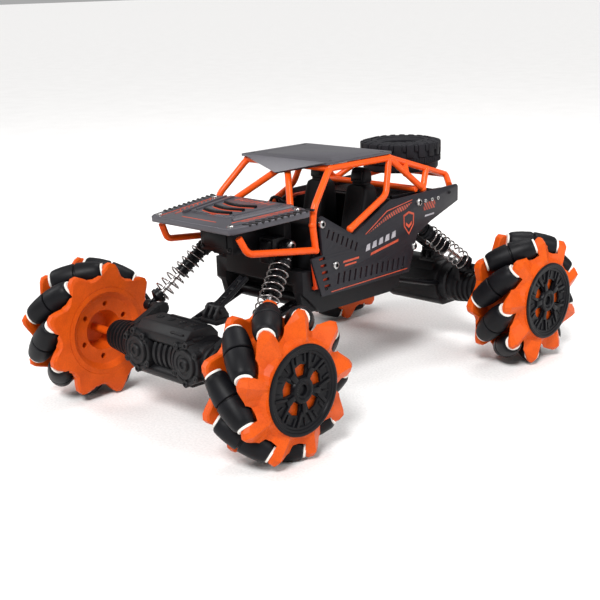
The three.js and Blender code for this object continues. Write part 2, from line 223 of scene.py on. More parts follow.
def copied(source, name, place):
    """A copy with its own mesh, moved, turned or mirrored by a matrix."""
    select_only(source)
    bpy.ops.object.duplicate()
    piece = bpy.context.object
    piece.name = name
    piece.matrix_world = place @ piece.matrix_world
    bpy.ops.object.transform_apply(location=True, rotation=True, scale=True)
    return face_outwards(piece) if place.determinant() < 0 else piece


def standing(place, axis):
    """The matrix that sets a piece drawn along Z at a place, along an axis."""
    return Matrix.Translation(place) @ axis.to_track_quat("Z", "Y").to_matrix().to_4x4()


def discard(*pieces):
    """Clears away pieces that are no longer needed."""
    select_only(*pieces)
    bpy.ops.object.delete()


def pair(source, name):
    """A left-hand piece and its mirror image on the right, as one piece."""
    return joined(name, [source, copied(source, name + "_mirrored", Matrix.Scale(-1, 4, X))])


def carve(piece, *cutters):
    """Cuts pieces out of a piece and clears them away."""
    cutter = joined("cutter", list(cutters))
    apply_modifier(piece, "BOOLEAN", operation="DIFFERENCE", object=cutter, solver="EXACT",
        use_self=len(cutters) > 1)
    discard(cutter)
    return piece


def softened(node, rounding, segments=2):
    """A merged copy of a plain moulding with its sharp edges rounded over."""
    select_only(frame["nodes"][node])
    bpy.ops.object.duplicate()
    piece = bpy.context.object
    for key in list(piece.keys()):
        del piece[key]
    piece.parent = None
    piece.matrix_world = Matrix.Identity(4)
    piece.name = node + "_moulding"
    bpy.ops.object.mode_set(mode="EDIT")
    bpy.ops.mesh.select_all(action="SELECT")
    bpy.ops.mesh.remove_doubles(threshold=2e-6)
    bpy.ops.mesh.dissolve_limited(angle_limit=math.radians(0.6))
    bpy.ops.object.mode_set(mode="OBJECT")
    return rounded(piece, rounding, segments, 28)


def finish(piece, body, finish_name, replaces=(), smooth=32):
    """Bakes the place into the mesh, smooths the soft edges, gives the finish and hangs the piece on its body."""
    select_only(piece)
    bpy.ops.object.transform_apply(location=True, rotation=True, scale=True)
    bpy.ops.object.shade_smooth_by_angle(angle=math.radians(smooth))
    if finish_name:
        piece.data.materials.clear()
        piece.data.materials.append(material(finish_name))
    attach(piece, body)
    if replaces:
        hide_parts(*replaces)
    return piece


# ---- finishes ----
def add_node(tree, kind, inputs=None, **settings):
    """Adds a shader node, sets its properties, and gives each named input a value or a link."""
    made = tree.nodes.new(kind)
    for name, value in settings.items():
        setattr(made, name, value)
    for name, value in (inputs or {}).items():
        if isinstance(value, bpy.types.NodeSocket):
            tree.links.new(value, made.inputs[name])
        else:
            made.inputs[name].default_value = value
    return made


def surface(name, main, drift, roughness, spread, grain, depth, drift_size=14, stretch=(1, 1, 1), **shader):
    """A finish whose colour drifts between two shades over drift_size, with grain as wide and as deep as given
    in millimetres, and roughness that wanders by spread. Stretch draws the grain out along an axis."""
    made = bpy.data.materials.new(name)
    made.use_nodes = True
    tree = made.node_tree
    principled = tree.nodes["Principled BSDF"]
    for socket, value in shader.items():
        principled.inputs[socket.replace("_", " ")].default_value = value
    place = add_node(tree, "ShaderNodeTexCoord")
    drawn = add_node(tree, "ShaderNodeMapping", {"Vector": place.outputs["Object"], "Scale": stretch})
    patches = add_node(tree, "ShaderNodeTexNoise", {"Vector": place.outputs["Object"],
            "Scale": 1000 / drift_size, "Detail": 4.0, "Roughness": 0.6})
    pores = add_node(tree, "ShaderNodeTexNoise", {"Vector": drawn.outputs["Vector"], "Scale": 1000 / grain,
            "Detail": 2.0, "Roughness": 0.55})
    blotches = add_node(tree, "ShaderNodeValToRGB", {"Fac": patches.outputs["Fac"]})
    blotches.color_ramp.elements[0].position, blotches.color_ramp.elements[1].position = 0.32, 0.7
    blotches.color_ramp.elements[0].color = drift if isinstance(drift, tuple) else linear(drift)
    blotches.color_ramp.elements[1].color = main if isinstance(main, tuple) else linear(main)
    speckle = add_node(tree, "ShaderNodeMapRange", {"Value": pores.outputs["Fac"], "From Min": 0.3,
            "From Max": 0.7, "To Min": 0.9, "To Max": 1.06})
    tinted = add_node(tree, "ShaderNodeVectorMath", {0: blotches.outputs["Color"],
            1: speckle.outputs["Result"]}, operation="MULTIPLY")
    worn = add_node(tree, "ShaderNodeMapRange", {"Value": patches.outputs["Fac"], "From Min": 0.25,
            "From Max": 0.75, "To Min": roughness + spread, "To Max": roughness - spread})
    relief = add_node(tree, "ShaderNodeBump", {"Height": pores.outputs["Fac"], "Strength": 1.0,
            "Distance": depth * MM})
    tree.links.new(tinted.outputs["Vector"], principled.inputs["Base Color"])
    tree.links.new(worn.outputs["Result"], principled.inputs["Roughness"])
    tree.links.new(relief.outputs["Normal"], principled.inputs["Normal"])
    return made


def printed_hatch(name):
    """Screen print: red ink in slanted lines 1.1 mm apart over a solid coat, as stripes that are dense yet broken."""
    colours = bpy.context.scene.stunt_car_colours
    made = surface(name, tuple(colours.print_red), "#8E2E1C", 0.42, 0.05, 0.7, 0.01, 9)
    tree = made.node_tree
    principled = tree.nodes["Principled BSDF"]
    ink = principled.inputs["Base Color"].links[0].from_socket
    place = add_node(tree, "ShaderNodeTexCoord")
    slanted = add_node(tree, "ShaderNodeMapping", {"Vector": place.outputs["Object"],
            "Rotation": (math.radians(-32), 0, 0)})
    lines = add_node(tree, "ShaderNodeTexWave", {"Vector": slanted.outputs["Vector"], "Scale": 145.0,
            "Distortion": 0.0}, bands_direction="Y")
    broken = add_node(tree, "ShaderNodeMapRange", {"Value": lines.outputs["Fac"], "From Min": 0.42,
            "From Max": 0.58, "To Min": 0.0, "To Max": 1.0})
    mixed = add_node(tree, "ShaderNodeMix", {"Factor": broken.outputs["Result"], "A": linear("#3A2523"),
            "B": ink}, data_type="RGBA")
    tree.links.new(mixed.outputs["Result"], principled.inputs["Base Color"])
    return made


def material(name):
    """The named finish, made the first time it is asked for."""
    if name in bpy.data.materials:
        return bpy.data.materials[name]
    colours = bpy.context.scene.stunt_car_colours
    orange, cage, black = tuple(colours.wheel_orange), tuple(colours.cage_orange), tuple(colours.black_plastic)
    panel, steel, rubber = tuple(colours.panel_charcoal), tuple(colours.plate_grey), tuple(colours.rubber)
    makers = {
        # Moulded glass-filled nylon: saturated orange that deepens in thick places, soft sheen, faint mould grain.
        "moulded_orange_nylon": lambda: surface(name, orange, "#C2490C", 0.42, 0.06, 0.9, 0.03, 11, IOR=1.53,
            Specular_IOR_Level=0.16),
        # Extruded nylon tube: smoother and glossier than the wheels, with draw lines too faint to see.
        "orange_nylon_tube": lambda: surface(name, cage, "#E45010", 0.32, 0.05, 1.2, 0.02, 17, IOR=1.53,
            Specular_IOR_Level=0.22),
        # Vacuum-formed body shell: duller orange, seen only through the slots.
        "orange_body_shell": lambda: surface(name, "#EE4C17", "#C93A10", 0.5, 0.05, 0.8, 0.03, 12),
        # Spark-eroded glass nylon: black with a fine sand-like grain 0.5 mm wide, which breaks up highlights.
        "textured_black_nylon": lambda: surface(name, black, "#111114", 0.5, 0.06, 0.5, 0.06, 13, IOR=1.5,
            Specular_IOR_Level=0.25),
        # Polished black ABS: hub caps and covers, smoother, with a clear highlight on each step.
        "satin_black_abs": lambda: surface(name, "#0C0C0F", "#121215", 0.33, 0.05, 0.8, 0.015, 15, IOR=1.54,
            Specular_IOR_Level=0.1),
        # Chassis and cab tub: matt moulded ABS, a touch warmer than the axles.
        "matt_black_abs": lambda: surface(name, "#0E0E11", "#151518", 0.56, 0.05, 0.7, 0.05, 12, IOR=1.54,
            Specular_IOR_Level=0.18),
        # Painted polycarbonate side panels: charcoal satin lacquer with slow tonal drift and fine orange peel.
        "charcoal_lacquer": lambda: surface(name, panel, "#232228", 0.38, 0.05, 1.3, 0.018, 45,
            Specular_IOR_Level=0.24),
        # Bead-blasted sheet metal under grey anodising: long soft highlights with a faint lengthwise brushing.
        "grey_anodised_sheet": lambda: surface(name, steel, "#48464D", 0.36, 0.06, 0.7, 0.012, 26,
                                               (1, 0.12, 1), Metallic=0.2, Specular_IOR_Level=0.6),
        # Thermoplastic rubber rollers: black satin skin that takes a grey bloom where it is handled.
        "thermoplastic_rubber": lambda: surface(name, rubber, "#101014", 0.47, 0.06, 0.9, 0.03, 8, IOR=1.52,
            Specular_IOR_Level=0.15),
        # Tyre rubber: matt, with dust held in the grain.
        "tread_rubber": lambda: surface(name, "#121216", "#1B1A1F", 0.66, 0.06, 0.6, 0.07, 10, IOR=1.52,
            Specular_IOR_Level=0.18),
        # Nickel-plated spring wire: bright, nearly mirror smooth.
        "nickel_spring_wire": lambda: surface(name, "#A9A4A3", "#7F7978", 0.24, 0.05, 0.5, 0.006, 6,
            Metallic=1.0),
        # Zinc-plated screws and ground rods: pale grey metal, slightly cloudy.
        "zinc_plated_steel": lambda: surface(name, "#C6C4C3", "#A5A3A3", 0.28, 0.07, 0.4, 0.008, 4,
            Metallic=1.0),
        # Oxide-blackened steel: socket screws; also laid in the sockets of plated screws as painted shade.
        "blackened_steel": lambda: surface(name, "#2A2A2C", "#1B1B1C", 0.4, 0.08, 0.4, 0.01, 4, Metallic=0.7),
        # Acetal bushings: milky white, waxy.
        "white_acetal": lambda: surface(name, "#EDEAE4", "#DCD8D0", 0.4, 0.05, 0.6, 0.01, 5, IOR=1.48),
        # Screen-printed ink: flat and slightly dusty, a film with no thickness to speak of.
        "printed_ink": lambda: surface(name, tuple(colours.print_red), "#A13A22", 0.42, 0.04, 0.7, 0.01, 9),
        "printed_hatching": lambda: printed_hatch(name),
        # Grey screen print, for the pale bars on the side panels.
        "pale_ink": lambda: surface(name, "#A9A6AB", "#8F8C92", 0.45, 0.04, 0.7, 0.01, 9),
        # Heat-shrunk PVC around the battery cells: blue, tight and glossy.
        "blue_shrink_wrap": lambda: surface(name, "#1F4A9C", "#193C80", 0.28, 0.05, 1.4, 0.05, 9, IOR=1.54),
        # Matt paper backdrop: pale, with only a breath of fibre.
        "pale_backdrop_paper": lambda: surface(name, "#F3F2F1", "#EEEDEC", 0.85, 0.03, 1.6, 0.02, 60),
    }
    return makers[name]()


def two_tone(piece, outer, inner, is_inner):
    """Gives a piece an outer finish, and an inner one on the faces that is_inner picks."""
    piece.data.materials.clear()
    piece.data.materials.append(material(outer))
    piece.data.materials.append(material(inner))
    for face in piece.data.polygons:
        face.material_index = 1 if is_inner(face) else 0
    return piece


# ---- fasteners ----
def hexagon(angle, flat):
    """The radius of a hexagon in some direction, from half its width across flats."""
    return flat / math.cos(angle % math.radians(60) - math.radians(30))


def screw_pattern(head, height, outer, dome=True):
    """One hexagon-socket screw at the origin, head up, with the blackened finish in its socket as painted shade."""
    steps = [(-0.5, 1.0), (0.3, 1.0), (0.7, 0.9), (0.95, 0.68)] if dome else [(-0.5, 1.0), (0.85, 1.0),
        (1.0, 0.92)]
    angles = [math.tau * k / 24 for k in range(24)]
    rings = [[Vector((math.cos(a) * head * wide, math.sin(a) * head * wide, up * height)) * MM for a in angles]
        for up, wide in steps]
    rings += [[Vector((math.cos(a) * hexagon(a, head * flat), math.sin(a) * hexagon(a, head * flat),
                up * height)) * MM for a in angles] for up, flat in ((1.0, 0.47), (0.25, 0.44))]
    screw = loft("screw", rings)
    # the faces inside the socket take the blackened finish: painted shade, since a plated screw's socket is dark only
    # from shadow
    socket_shade_radius = head * 0.52 * MM
    two_tone(screw, outer, "blackened_steel", lambda f: Vector(f.center[:2]).length < socket_shade_radius
        and f.center.z > -0.3 * height * MM)
    return screw


def screws(name, body, places, axis, head=2.0, height=1.1, outer="zinc_plated_steel",
    dome=True):
    """Screws of one size at places in millimetres, all facing along the axis, as one piece."""
    pattern = screw_pattern(head, height, outer, dome)
    made = [copied(pattern, f"{name}_{k}", standing(Vector(place) * MM, axis)) for k,
        place in enumerate(places)]
    discard(pattern)
    return finish(joined(name, made), body, None)


# ---- wheels ----
class Wheel:
    """Where a wheel stands, and how its rollers are set, read from the car's joints."""

    def __init__(self, name):
        self.name = name
        self.centre = Vector(JOINTS[f"wheel_{name}_spin"]["pos_m"])
        self.side = 1 if self.centre.x > 0 else -1
        self.outward = X * self.side
        self.axle_start = Vector((0, self.centre.y, self.centre.z))
        first = JOINTS[f"roller_{name}_1_spin"]
        arm, pin = Vector(first["pos_m"]) - self.centre, Vector(first["axis"]) * (1
            if first["axis"][0] * self.side > 0 else -1)
        self.middle_phase = math.atan2(arm.z, arm.y)
        along_rim = Vector((0, -math.sin(self.middle_phase), math.cos(self.middle_phase)))
        self.twist = 1 if pin.dot(along_rim) > 0 else -1

    def point(self, x, radius, angle):
        """A place x from the car's centre plane and a radius from the wheel's axis, in millimetres and radians."""
        return Vector((self.side * x * MM, self.centre.y + radius * MM * math.cos(angle),
                self.centre.z + radius * MM * math.sin(angle)))

    def wedge(self, corners, turn, low, high):
        """A block between two distances x from (radius, degrees) corners about the wheel's axis."""
        return loft("wedge", [[self.point(x, radius, turn + math.radians(degrees)) for radius,
                    degrees in corners] for x in (low, high)])

    def pins(self):
        """The middle and the direction of each roller pin."""
        for k in range(ROLLERS):
            joint = JOINTS[f"roller_{self.name}_{k + 1}_spin"]
            yield Vector(joint["pos_m"]), Vector(joint["axis"]).normalized()

    def lobes(self, outer):
        """The star flange's outline as (angle, radius, how near the tip) for every lobe."""
        phase = self.middle_phase + (1 if outer else -1) * self.twist * math.radians(PIN_HALF_TWIST)
        shape = [(-20, 36.3, 0), (-14, 37, 0.2), (-8.5, 41, 0.55), (-4.5, 44, 0.78), (0, 44.9, 1),
            (3.8, 43.6, 0.75), (8, 41, 0.5), (13, 38.3, 0.2)]
        for k in range(ROLLERS):
            for offset, radius, tip in shape if self.twist > 0 else reversed(shape):
                yield phase + math.radians(self.twist * offset + 360 / ROLLERS * k), radius, tip


def star_flange(wheel, outer):
    """Nine lobes with a ridge down each one: the outline is lofted from the drum out to the rim and over the face."""
    lobes = list(wheel.lobes(outer))
    ring = lambda x, radius: [wheel.point(x(tip), radius(r, tip), angle) for angle, r, tip in lobes]
    if outer:
        return loft("outer_star", [
            ring(lambda t: 102.5, lambda r, t: 25.6),
            ring(lambda t: 102.4, lambda r, t: r - 1.2),
            ring(lambda t: 103.2, lambda r, t: r),
            ring(lambda t: 103.3 + 2.0 * t, lambda r, t: r),
            ring(lambda t: 103.0 + 5.6 * t, lambda r, t: r - 0.4 - 3.2 * t),
            ring(lambda t: 104.8 + 5.6 * t, lambda r, t: 29.4),
            ring(lambda t: 109.6, lambda r, t: 26.2),
            ring(lambda t: 108.6, lambda r, t: 25.4),
            ring(lambda t: 105.4, lambda r, t: 24.2),
        ])
    return loft("inner_star", [
        ring(lambda t: 73.6, lambda r, t: 26.6),
        ring(lambda t: 72.4, lambda r, t: 29.5),
        ring(lambda t: 72.2 + 0.8 * t, lambda r, t: r - 1.4 - t),
        ring(lambda t: 73.6, lambda r, t: r),
        ring(lambda t: 77.4, lambda r, t: r),
        ring(lambda t: 78.2, lambda r, t: r - 1.2),
        ring(lambda t: 78.0, lambda r, t: 26.6),
    ], hoop=True)


class STUNTCAR_OT_wheel_hubs(bpy.types.Operator):
    """Four orange hubs: a turned drum between two star flanges, with room cut for each roller's end"""
    bl_idname = "stuntcar.wheel_hubs"
    bl_label = "Wheel Hubs"

    def execute(self, context):
        for wheel in map(Wheel, WHEELS):
            drum = turned("drum", [(66.2, 1.2), (66.2, 2.5), (88, 2.5), (88, 10), (76.6, 13.4), (75.4, 22.4),
                    (73.4, 24.4), (72.2, 26), (72.4, 29), (76.5, 29), (78.4, 26.4), (81, 25.2), (99, 25.2),
                    (102.2, 26.6), (106, 27.4), (109.6, 27), (109.9, 26), (106.6, 23), (106.2, 4),
                    (106.2, 1.2)], wheel.axle_start, wheel.outward, 54)
            rooms = []
            for middle, pin in wheel.pins():
                rooms.append(turned("room", [(-17.8, 0.5), (-17.8, 7.6), (-8, 9.9), (0, 10.4), (8, 9.9),
                            (17.8, 7.6), (17.8, 0.5)], middle, pin, 36))
            rooms = joined("rooms", rooms)
            inner_rooms = copied(rooms, "inner_rooms", Matrix.Identity(4))
            outer = carve(star_flange(wheel, True), rooms)
            inner = carve(star_flange(wheel, False), inner_rooms)
            holes = [turned("hole", [(68, 1.9), (81, 1.9)], wheel.point(0, 17.6, wheel.middle_phase + math.tau
                        * k / 6), wheel.outward, 16) for k in range(6)]
            carve(drum, *holes)
            hub = joined(f"hub_{wheel.name}", [drum, outer, inner])
            finish(hub, f"wheel_{wheel.name}", "moulded_orange_nylon",
                [f"wheel_hub_{wheel.name}"], smooth=9)
        return {"FINISHED"}


class STUNTCAR_OT_hub_caps(bpy.types.Operator):
    """Four black hub caps with five forked spokes and a centre hole"""
    bl_idname = "stuntcar.hub_caps"
    bl_label = "Hub Caps"

    def execute(self, context):
        for wheel in map(Wheel, WHEELS):
            cap = turned("cap", [(107.4, 2), (107.4, 21.5), (108.4, 25.4), (110.3, 26.5), (110.9, 26.3),
                    (111.1, 25.7), (111.1, 24.6), (110.5, 24.1), (110.5, 22.9), (109.8, 22.5), (109.8, 21.3),
                    (109.2, 20.9), (108.9, 20.4), (108.9, 8), (110.2, 7.4), (110.5, 6.8), (110.5, 5.4),
                    (110.0, 4.9), (109.6, 4.4), (109.6, 2)], wheel.axle_start, wheel.outward, 60)
            cutters, forks = [turned("bore", [(100, 3.3), (115, 3.3)], wheel.axle_start, wheel.outward, 24)], []
            for k in range(5):
                turn = wheel.middle_phase + math.tau * k / 5
                cutters.append(wheel.wedge([(8.4, -19), (14.6, -19), (15.2, 0), (14.6, 19), (8.4, 19)], turn,
                        104, 113))
                forks.append(wheel.wedge([(7, 24), (13.6, 28.5), (13.6, 43.5), (7, 48)], turn, 108.6, 110.2))
                for lean in (-1, 1):
                    forks.append(wheel.wedge([(12.4, 36 + 6 * lean), (21.6, 36 + 15 * lean),
                                (21.6, 36 + 20 * lean), (12.4, 36 + 13 * lean)], turn, 108.6, 110.0))
                    forks.append(wheel.wedge([(16.2, 9 * lean), (21.4, 7 * lean), (21.4, 10.5 * lean),
                                (16.2, 13.5 * lean)], turn, 108.6, 109.7))
                forks.append(wheel.wedge([(16.4, 34.6), (21.4, 35), (21.4, 37), (16.4, 37.4)], turn, 108.6,
                        109.6))
            carve(cap, *cutters)
            nut = turned("nut", [(105.8, 1), (105.8, 4.6), (107.8, 4.4), (108.2, 3.9), (108.2, 1)],
                wheel.axle_start, wheel.outward, 6)
            cap = joined("cap", [cap, nut, *[face_outwards(fork) for fork in forks]])
            rounded(cap, 0.22, 2, 40)
            finish(cap, f"wheel_{wheel.name}", "satin_black_abs",
                smooth=28).name = f"hub_cap_{wheel.name}"
        return {"FINISHED"}


class STUNTCAR_OT_rollers(bpy.types.Operator):
    """Thirty-six rubber rollers, each of two cones that meet at a groove"""
    bl_idname = "stuntcar.rollers"
    bl_label = "Rollers"

    def execute(self, context):
        half = [(0.45, 7.0), (0.55, 8.05), (0.95, 8.47), (2.2, 8.52), (8.5, 8.0), (13.2, 7.2), (15.4, 6.6),
            (16.4, 5.9), (16.8, 5.0), (16.8, 3.0)]
        profile = [(-along, radius) for along, radius in reversed(half)] + half
        pattern = turned("roller", profile, Vector(), Z, 32)
        for wheel in map(Wheel, WHEELS):
            for number, (middle, pin) in enumerate(wheel.pins(), 1):
                name = f"roller_{wheel.name}_{number}"
                finish(copied(pattern, f"rubber_{name}", standing(middle, pin)), name, "thermoplastic_rubber",
                    [name])
        discard(pattern)
        return {"FINISHED"}


class STUNTCAR_OT_bushings(bpy.types.Operator):
    """White bushings between the rollers and the lobes"""
    bl_idname = "stuntcar.bushings"
    bl_label = "Roller Bushings"

    def execute(self, context):
        pattern = joined("bushings", [turned("bushing", [(side * 16.5, 1.5), (side * 16.5, 4.8),
                    (side * 17.0, 5.2), (side * 17.9, 5.2), (side * 18.2, 4.8), (side * 18.2, 1.5)], Vector(),
                    Z, 20) for side in (1, -1)])
        for wheel in map(Wheel, WHEELS):
            made = [copied(pattern, "bushing", standing(middle, pin)) for middle, pin in wheel.pins()]
            finish(joined(f"bushings_{wheel.name}", made), f"wheel_{wheel.name}", "white_acetal")
        discard(pattern)
        return {"FINISHED"}


# ---- axles ----
class Axle:
    """Turns places measured from the front axle, with y counted from its own line, into places on either axle."""

    def __init__(self, end):
        self.body = f"{end}_axle"
        self.end = end
        self.sign = -1 if end == "front" else 1
        self.outward = Y * self.sign

    def point(self, x, y, z):
        return mm(x, self.sign * (AXLE_Y - y), z)

    def box(self, name, centre, size, rounding=0.4, lean=0):
        x, y, z = centre
        return block(name, (x, self.sign * (AXLE_Y - y), z), size, rounding, (-self.sign * lean, 0, 0))


def round_cover(axle, x):
    """One stepped gearbox cover: concentric rings, a centre boss and notched lugs on its rim."""
    cover = turned("cover", [(-12, 4), (-12, 12.6), (-11, 13.0), (12.4, 13.0), (13.3, 12.6), (13.6, 12.0),
            (13.6, 10.9), (12.9, 10.5), (12.9, 9.3), (14.2, 9.0), (14.6, 8.6), (14.6, 6.5), (14.0, 6.1),
            (14.0, 4.4), (15.1, 4.1), (15.5, 3.7), (15.5, 2.2), (14.7, 1.9), (14.7, 0.8)],
        axle.point(x, 0, WHEEL_Z), axle.outward, 48)
    parts = [cover]
    for degrees in (35, 80, 125, 215, 270, 325):
        a = math.radians(degrees)
        lug = axle.point(x + 12.2 * math.cos(a), -11.6, WHEEL_Z + 12.2 * math.sin(a))
        parts.append(turned("lug", [(-3, 0.6), (-3, 2.3), (2.2, 2.3), (2.6, 1.9), (2.6, 1.1), (1.6, 0.9),
                    (1.6, 0.5)], lug, axle.outward, 16))
    return joined("round_cover", parts)


def ribbed_boot(axle):
    """The ribbed tube from the gearbox to a wheel, tapering outwards."""
    profile = [(30, 6), (30, 12.7), (35, 12.8)]
    for k in range(6):
        start, wide = 36 + 4.1 * k, 12.6 - 0.5 * k
        profile += [(start, wide - 1.3), (start + 1.5, wide - 1.4), (start + 1.9, wide - 0.1),
            (start + 3.5, wide - 0.35)]
    profile += [(60.8, 8.9), (62, 8.4), (62, 4)]
    return turned("boot", profile, axle.point(0, 0, WHEEL_Z), X, 40)


def link_fins(axle):
    """The bracket for the upper link: a foot and three fins in a row."""
    parts = [axle.box("foot", (LINK_X, 15.5, 66.6), (15, 12, 3.4), 0.8)]
    for shift in (-5, 0, 5):
        fin = plate("fin", [(10, 66), (21.5, 66), (21.5, 70), (17.4, 76.6), (14.2, 76.6), (10, 70.5)],
            LINK_X + shift - 1.1, LINK_X + shift + 1.1)
        fin = copied_to_axle(fin, axle)
        parts.append(rounded(fin, 0.5))
    parts.append(turned("pin", [(-7.6, 0.8), (-7.6, 2), (7.6, 2), (7.6, 0.8)], axle.point(LINK_X, 15.8, 73.2),
            X, 16))
    return joined("fins", parts)


def copied_to_axle(piece, axle):
    """Moves a piece drawn with y counted from the axle's line onto that axle."""
    place = Matrix.Translation(axle.point(0, 0, 0)) @ (Matrix.Scale(-1, 4, Y) if axle.sign > 0
        else Matrix.Identity(4))
    moved = copied(piece, piece.name + "_placed", place)
    discard(piece)
    return moved


class STUNTCAR_OT_axles(bpy.types.Operator):
    """Both beam axles: gearbox castings, covers, ribbed boots, shock lugs, swing arms, link and screws"""
    bl_idname = "stuntcar.axles"
    bl_label = "Beam Axles"

    def execute(self, context):
        for axle in (Axle("front"), Axle("rear")):
            front = axle.end == "front"
            parts = front_gearbox(axle) if front else rear_gearbox(axle)
            parts += [pair(ribbed_boot(axle), "boots"), link_fins(axle), pair(shock_lug(axle), "lugs")]
            finish(joined(f"{axle.end}_axle_castings", parts), axle.body, "textured_black_nylon",
                [f"{axle.end}_axle_housing"])
            bars = [pair(channel_arm(axle), "arms"), upper_link(axle),
                    turned("cross_tube", [(-27.5, 2.1), (-27.5, 4.3), (27.5, 4.3), (27.5, 2.1)],
                        mm(0, axle.sign * ARM_PIN[0], ARM_PIN[1]), X, 24)]
            finish(joined(f"{axle.end}_links", bars), axle.body, "satin_black_abs")
            rim = [axle.point(side * COVER_X + COVER_RIM * math.cos(a), -13.9, WHEEL_Z + COVER_RIM
                    * math.sin(a)) / MM for side in (1, -1) for a in (math.radians(d) for d in (35, 125, 215,
                        325))]
            lid = [axle.point(x, LID_Y, 65.1) / MM for x in LID_SCREWS]
            if front:
                screws("front_cover_screws", axle.body, rim, axle.outward, 1.2, 0.6, "blackened_steel",
                    dome=False)
                screws("front_lid_screws", axle.body, lid, Z, 1.8, 0.7, "blackened_steel",
                    dome=False)
            foot = Shock(f"{axle.end}_left").at(1) / MM
            feet = [foot + Vector((3.0, 0, 0)), Vector((-foot.x - 3.0, foot.y, foot.z))]
            for place, way, name in zip(feet, (X, -X), ("left", "right")):
                screws(f"{axle.end}_shock_foot_bolt_{name}", axle.body, [place], way, 2.4, 1.2)
        return {"FINISHED"}


def prism(axle, name, outline, half_width, rounding):
    """A moulding of one side outline, drawn with y counted from the axle's line, across the car."""
    return rounded(copied_to_axle(plate(name, outline, -half_width, half_width), axle), rounding)


def front_gearbox(axle):
    """The front gearbox: a bevelled lid over a set-back body, two round covers, a ribbed tube and a skid."""
    rib_steps = [(-10.4, 5), (-10.4, 11.2)]
    for k in range(4):
        rib_steps += [(-9 + 5 * k, 11.2), (-8.6 + 5 * k, 12.6), (-6.2 + 5 * k, 12.6), (-5.8 + 5 * k, 11.2)]
    parts = [prism(axle, "lid", [(-12, 55), (-12, 60), (-7, 65.3), (9, 65.3), (14, 60), (14, 52), (-8, 52)],
        24, 0.9),
             prism(axle, "body", [(-7, 34), (-7, 56), (13.4, 56), (13.4, 34)], 25, 1.0),
             prism(axle, "skid", [(-9, 29.7), (-12.4, 33), (-12.4, 36.5), (-6, 40), (14, 40), (14, 36),
                 (8, 29.7)], 25, 1.6),
             pair(round_cover(axle, COVER_X), "covers"),
             turned("ribs", rib_steps + [(10.4, 11.2), (10.4, 5)], axle.point(0, 0, WHEEL_Z), X, 40),
             axle.box("lid_bar", (4, 7.4, 65.4), (34, 2.2, 1.5), 0.5),
             axle.box("lid_block", (19.4, -5.4, 63.2), (8, 6, 4.6), 1.2, 35),
             axle.box("lid_slot", (14, -9.6, 61.8), (12, 1.4, 3.4), 0.5, 42),
             axle.box("side_step", (24.6, -3, 57), (3, 9, 7), 0.9),
                 axle.box("side_step", (-24.6, -3, 57), (3, 9, 7), 0.9),
             axle.box("skid_rib", (0, -11.9, 34.8), (39, 1.8, 1.6), 0.5)]
    for x in LID_SCREWS:
        parts.append(turned("lid_boss", [(-1.5, 1.2), (-1.5, 2.9), (0.25, 2.9), (0.45, 2.6), (0.45, 2.1),
                    (-0.2, 1.9), (-0.2, 1.2)], axle.point(x, LID_Y, 65.2), Z, 24))
    return parts


def rear_gearbox(axle):
    """The rear gearbox: one large smooth drum with stepped ends, its motor boss and a low sill with fine lines."""
    steps = [(-31, 8), (-31, 13.2), (-29.6, 14.2), (-25, 14.4), (-24.6, 16.6), (-23, 17.4), (23, 17.4),
        (24.6, 16.6), (25, 14.4), (29.6, 14.2), (31, 13.2), (31, 8)]
    parts = [turned("drum", steps, axle.point(0, 0.6, WHEEL_Z + 1.2), X, 56),
             prism(axle, "saddle", [(-2, 52), (-2, 62), (3, 65.3), (12, 65.3), (15, 60), (15, 44), (8, 38)],
                 20, 1.4),
             prism(axle, "sill", [(-9, 29.7), (-13, 33.4), (-11, 38), (13, 38), (14, 34), (8, 29.7)], 25, 1.3)]
    parts += [turned("boss", [(14, 4), (14, 9.6), (17.6, 9.2), (18.2, 8.6), (18.2, 6.4), (17.4, 6), (17.4, 3.2),
                (18.4, 2.9), (18.4, 1)], axle.point(x, 0, WHEEL_Z + 1), axle.outward, 36) for x in (-11, 11)]
    for k in range(3):
        parts.append(axle.box("sill_line", (0, -12.4 + 0.9 * k, 33.4 + 1.8 * k), (44, 0.9, 0.8), 0.25))
    return parts


def shock_lug(axle):
    """The upright that carries a shock's lower bolt, with a boss that reaches out to the eye."""
    foot = Shock(f"{axle.end}_left").at(1) / MM
    away = AXLE_Y - abs(foot.y)
    upright = plate("upright", [(-4, 50), (10, 50), (away + 4, foot.z - 1), (away + 4, foot.z + 3.4),
            (away - 4, foot.z + 3.4), (-4, 57)], 36.7, 42.1)
    boss = turned("boss", [(36.4, 1.5), (36.4, 4.0), (46.4, 3.2), (48.2, 2.9), (48.2, 1.5)],
        mm(0, foot.y, foot.z), X, 24)
    return joined("lug", [rounded(copied_to_axle(upright, axle), 0.8), boss])


def upper_link(axle):
    """The upper link: two chamfered rails with rungs, from the bracket up to the chassis."""
    low, high = axle.point(LINK_X, 16.5, 73.6), axle.point(21.4, 39, 88.6)
    rails = [tube("rail", [low + mm(side, 0, 0), high + mm(side, 0, 0)], 1.5) for side in (-2.6, 2.6)]
    lean = math.degrees(math.atan2(high.z - low.z, (high.y - low.y) * -axle.sign))
    rungs = [block("rung", low.lerp(high, 0.1 + 0.27 * k) / MM, (6.4, 4.2, 2.2), 0.6, (-axle.sign * lean, 0, 0))
        for k in range(4)]
    eye = turned("eye", [(-4.4, 1.4), (-4.4, 3.2), (4.4, 3.2), (4.4, 1.4)], low, X, 20)
    return joined("upper_link", rails + rungs + [eye])


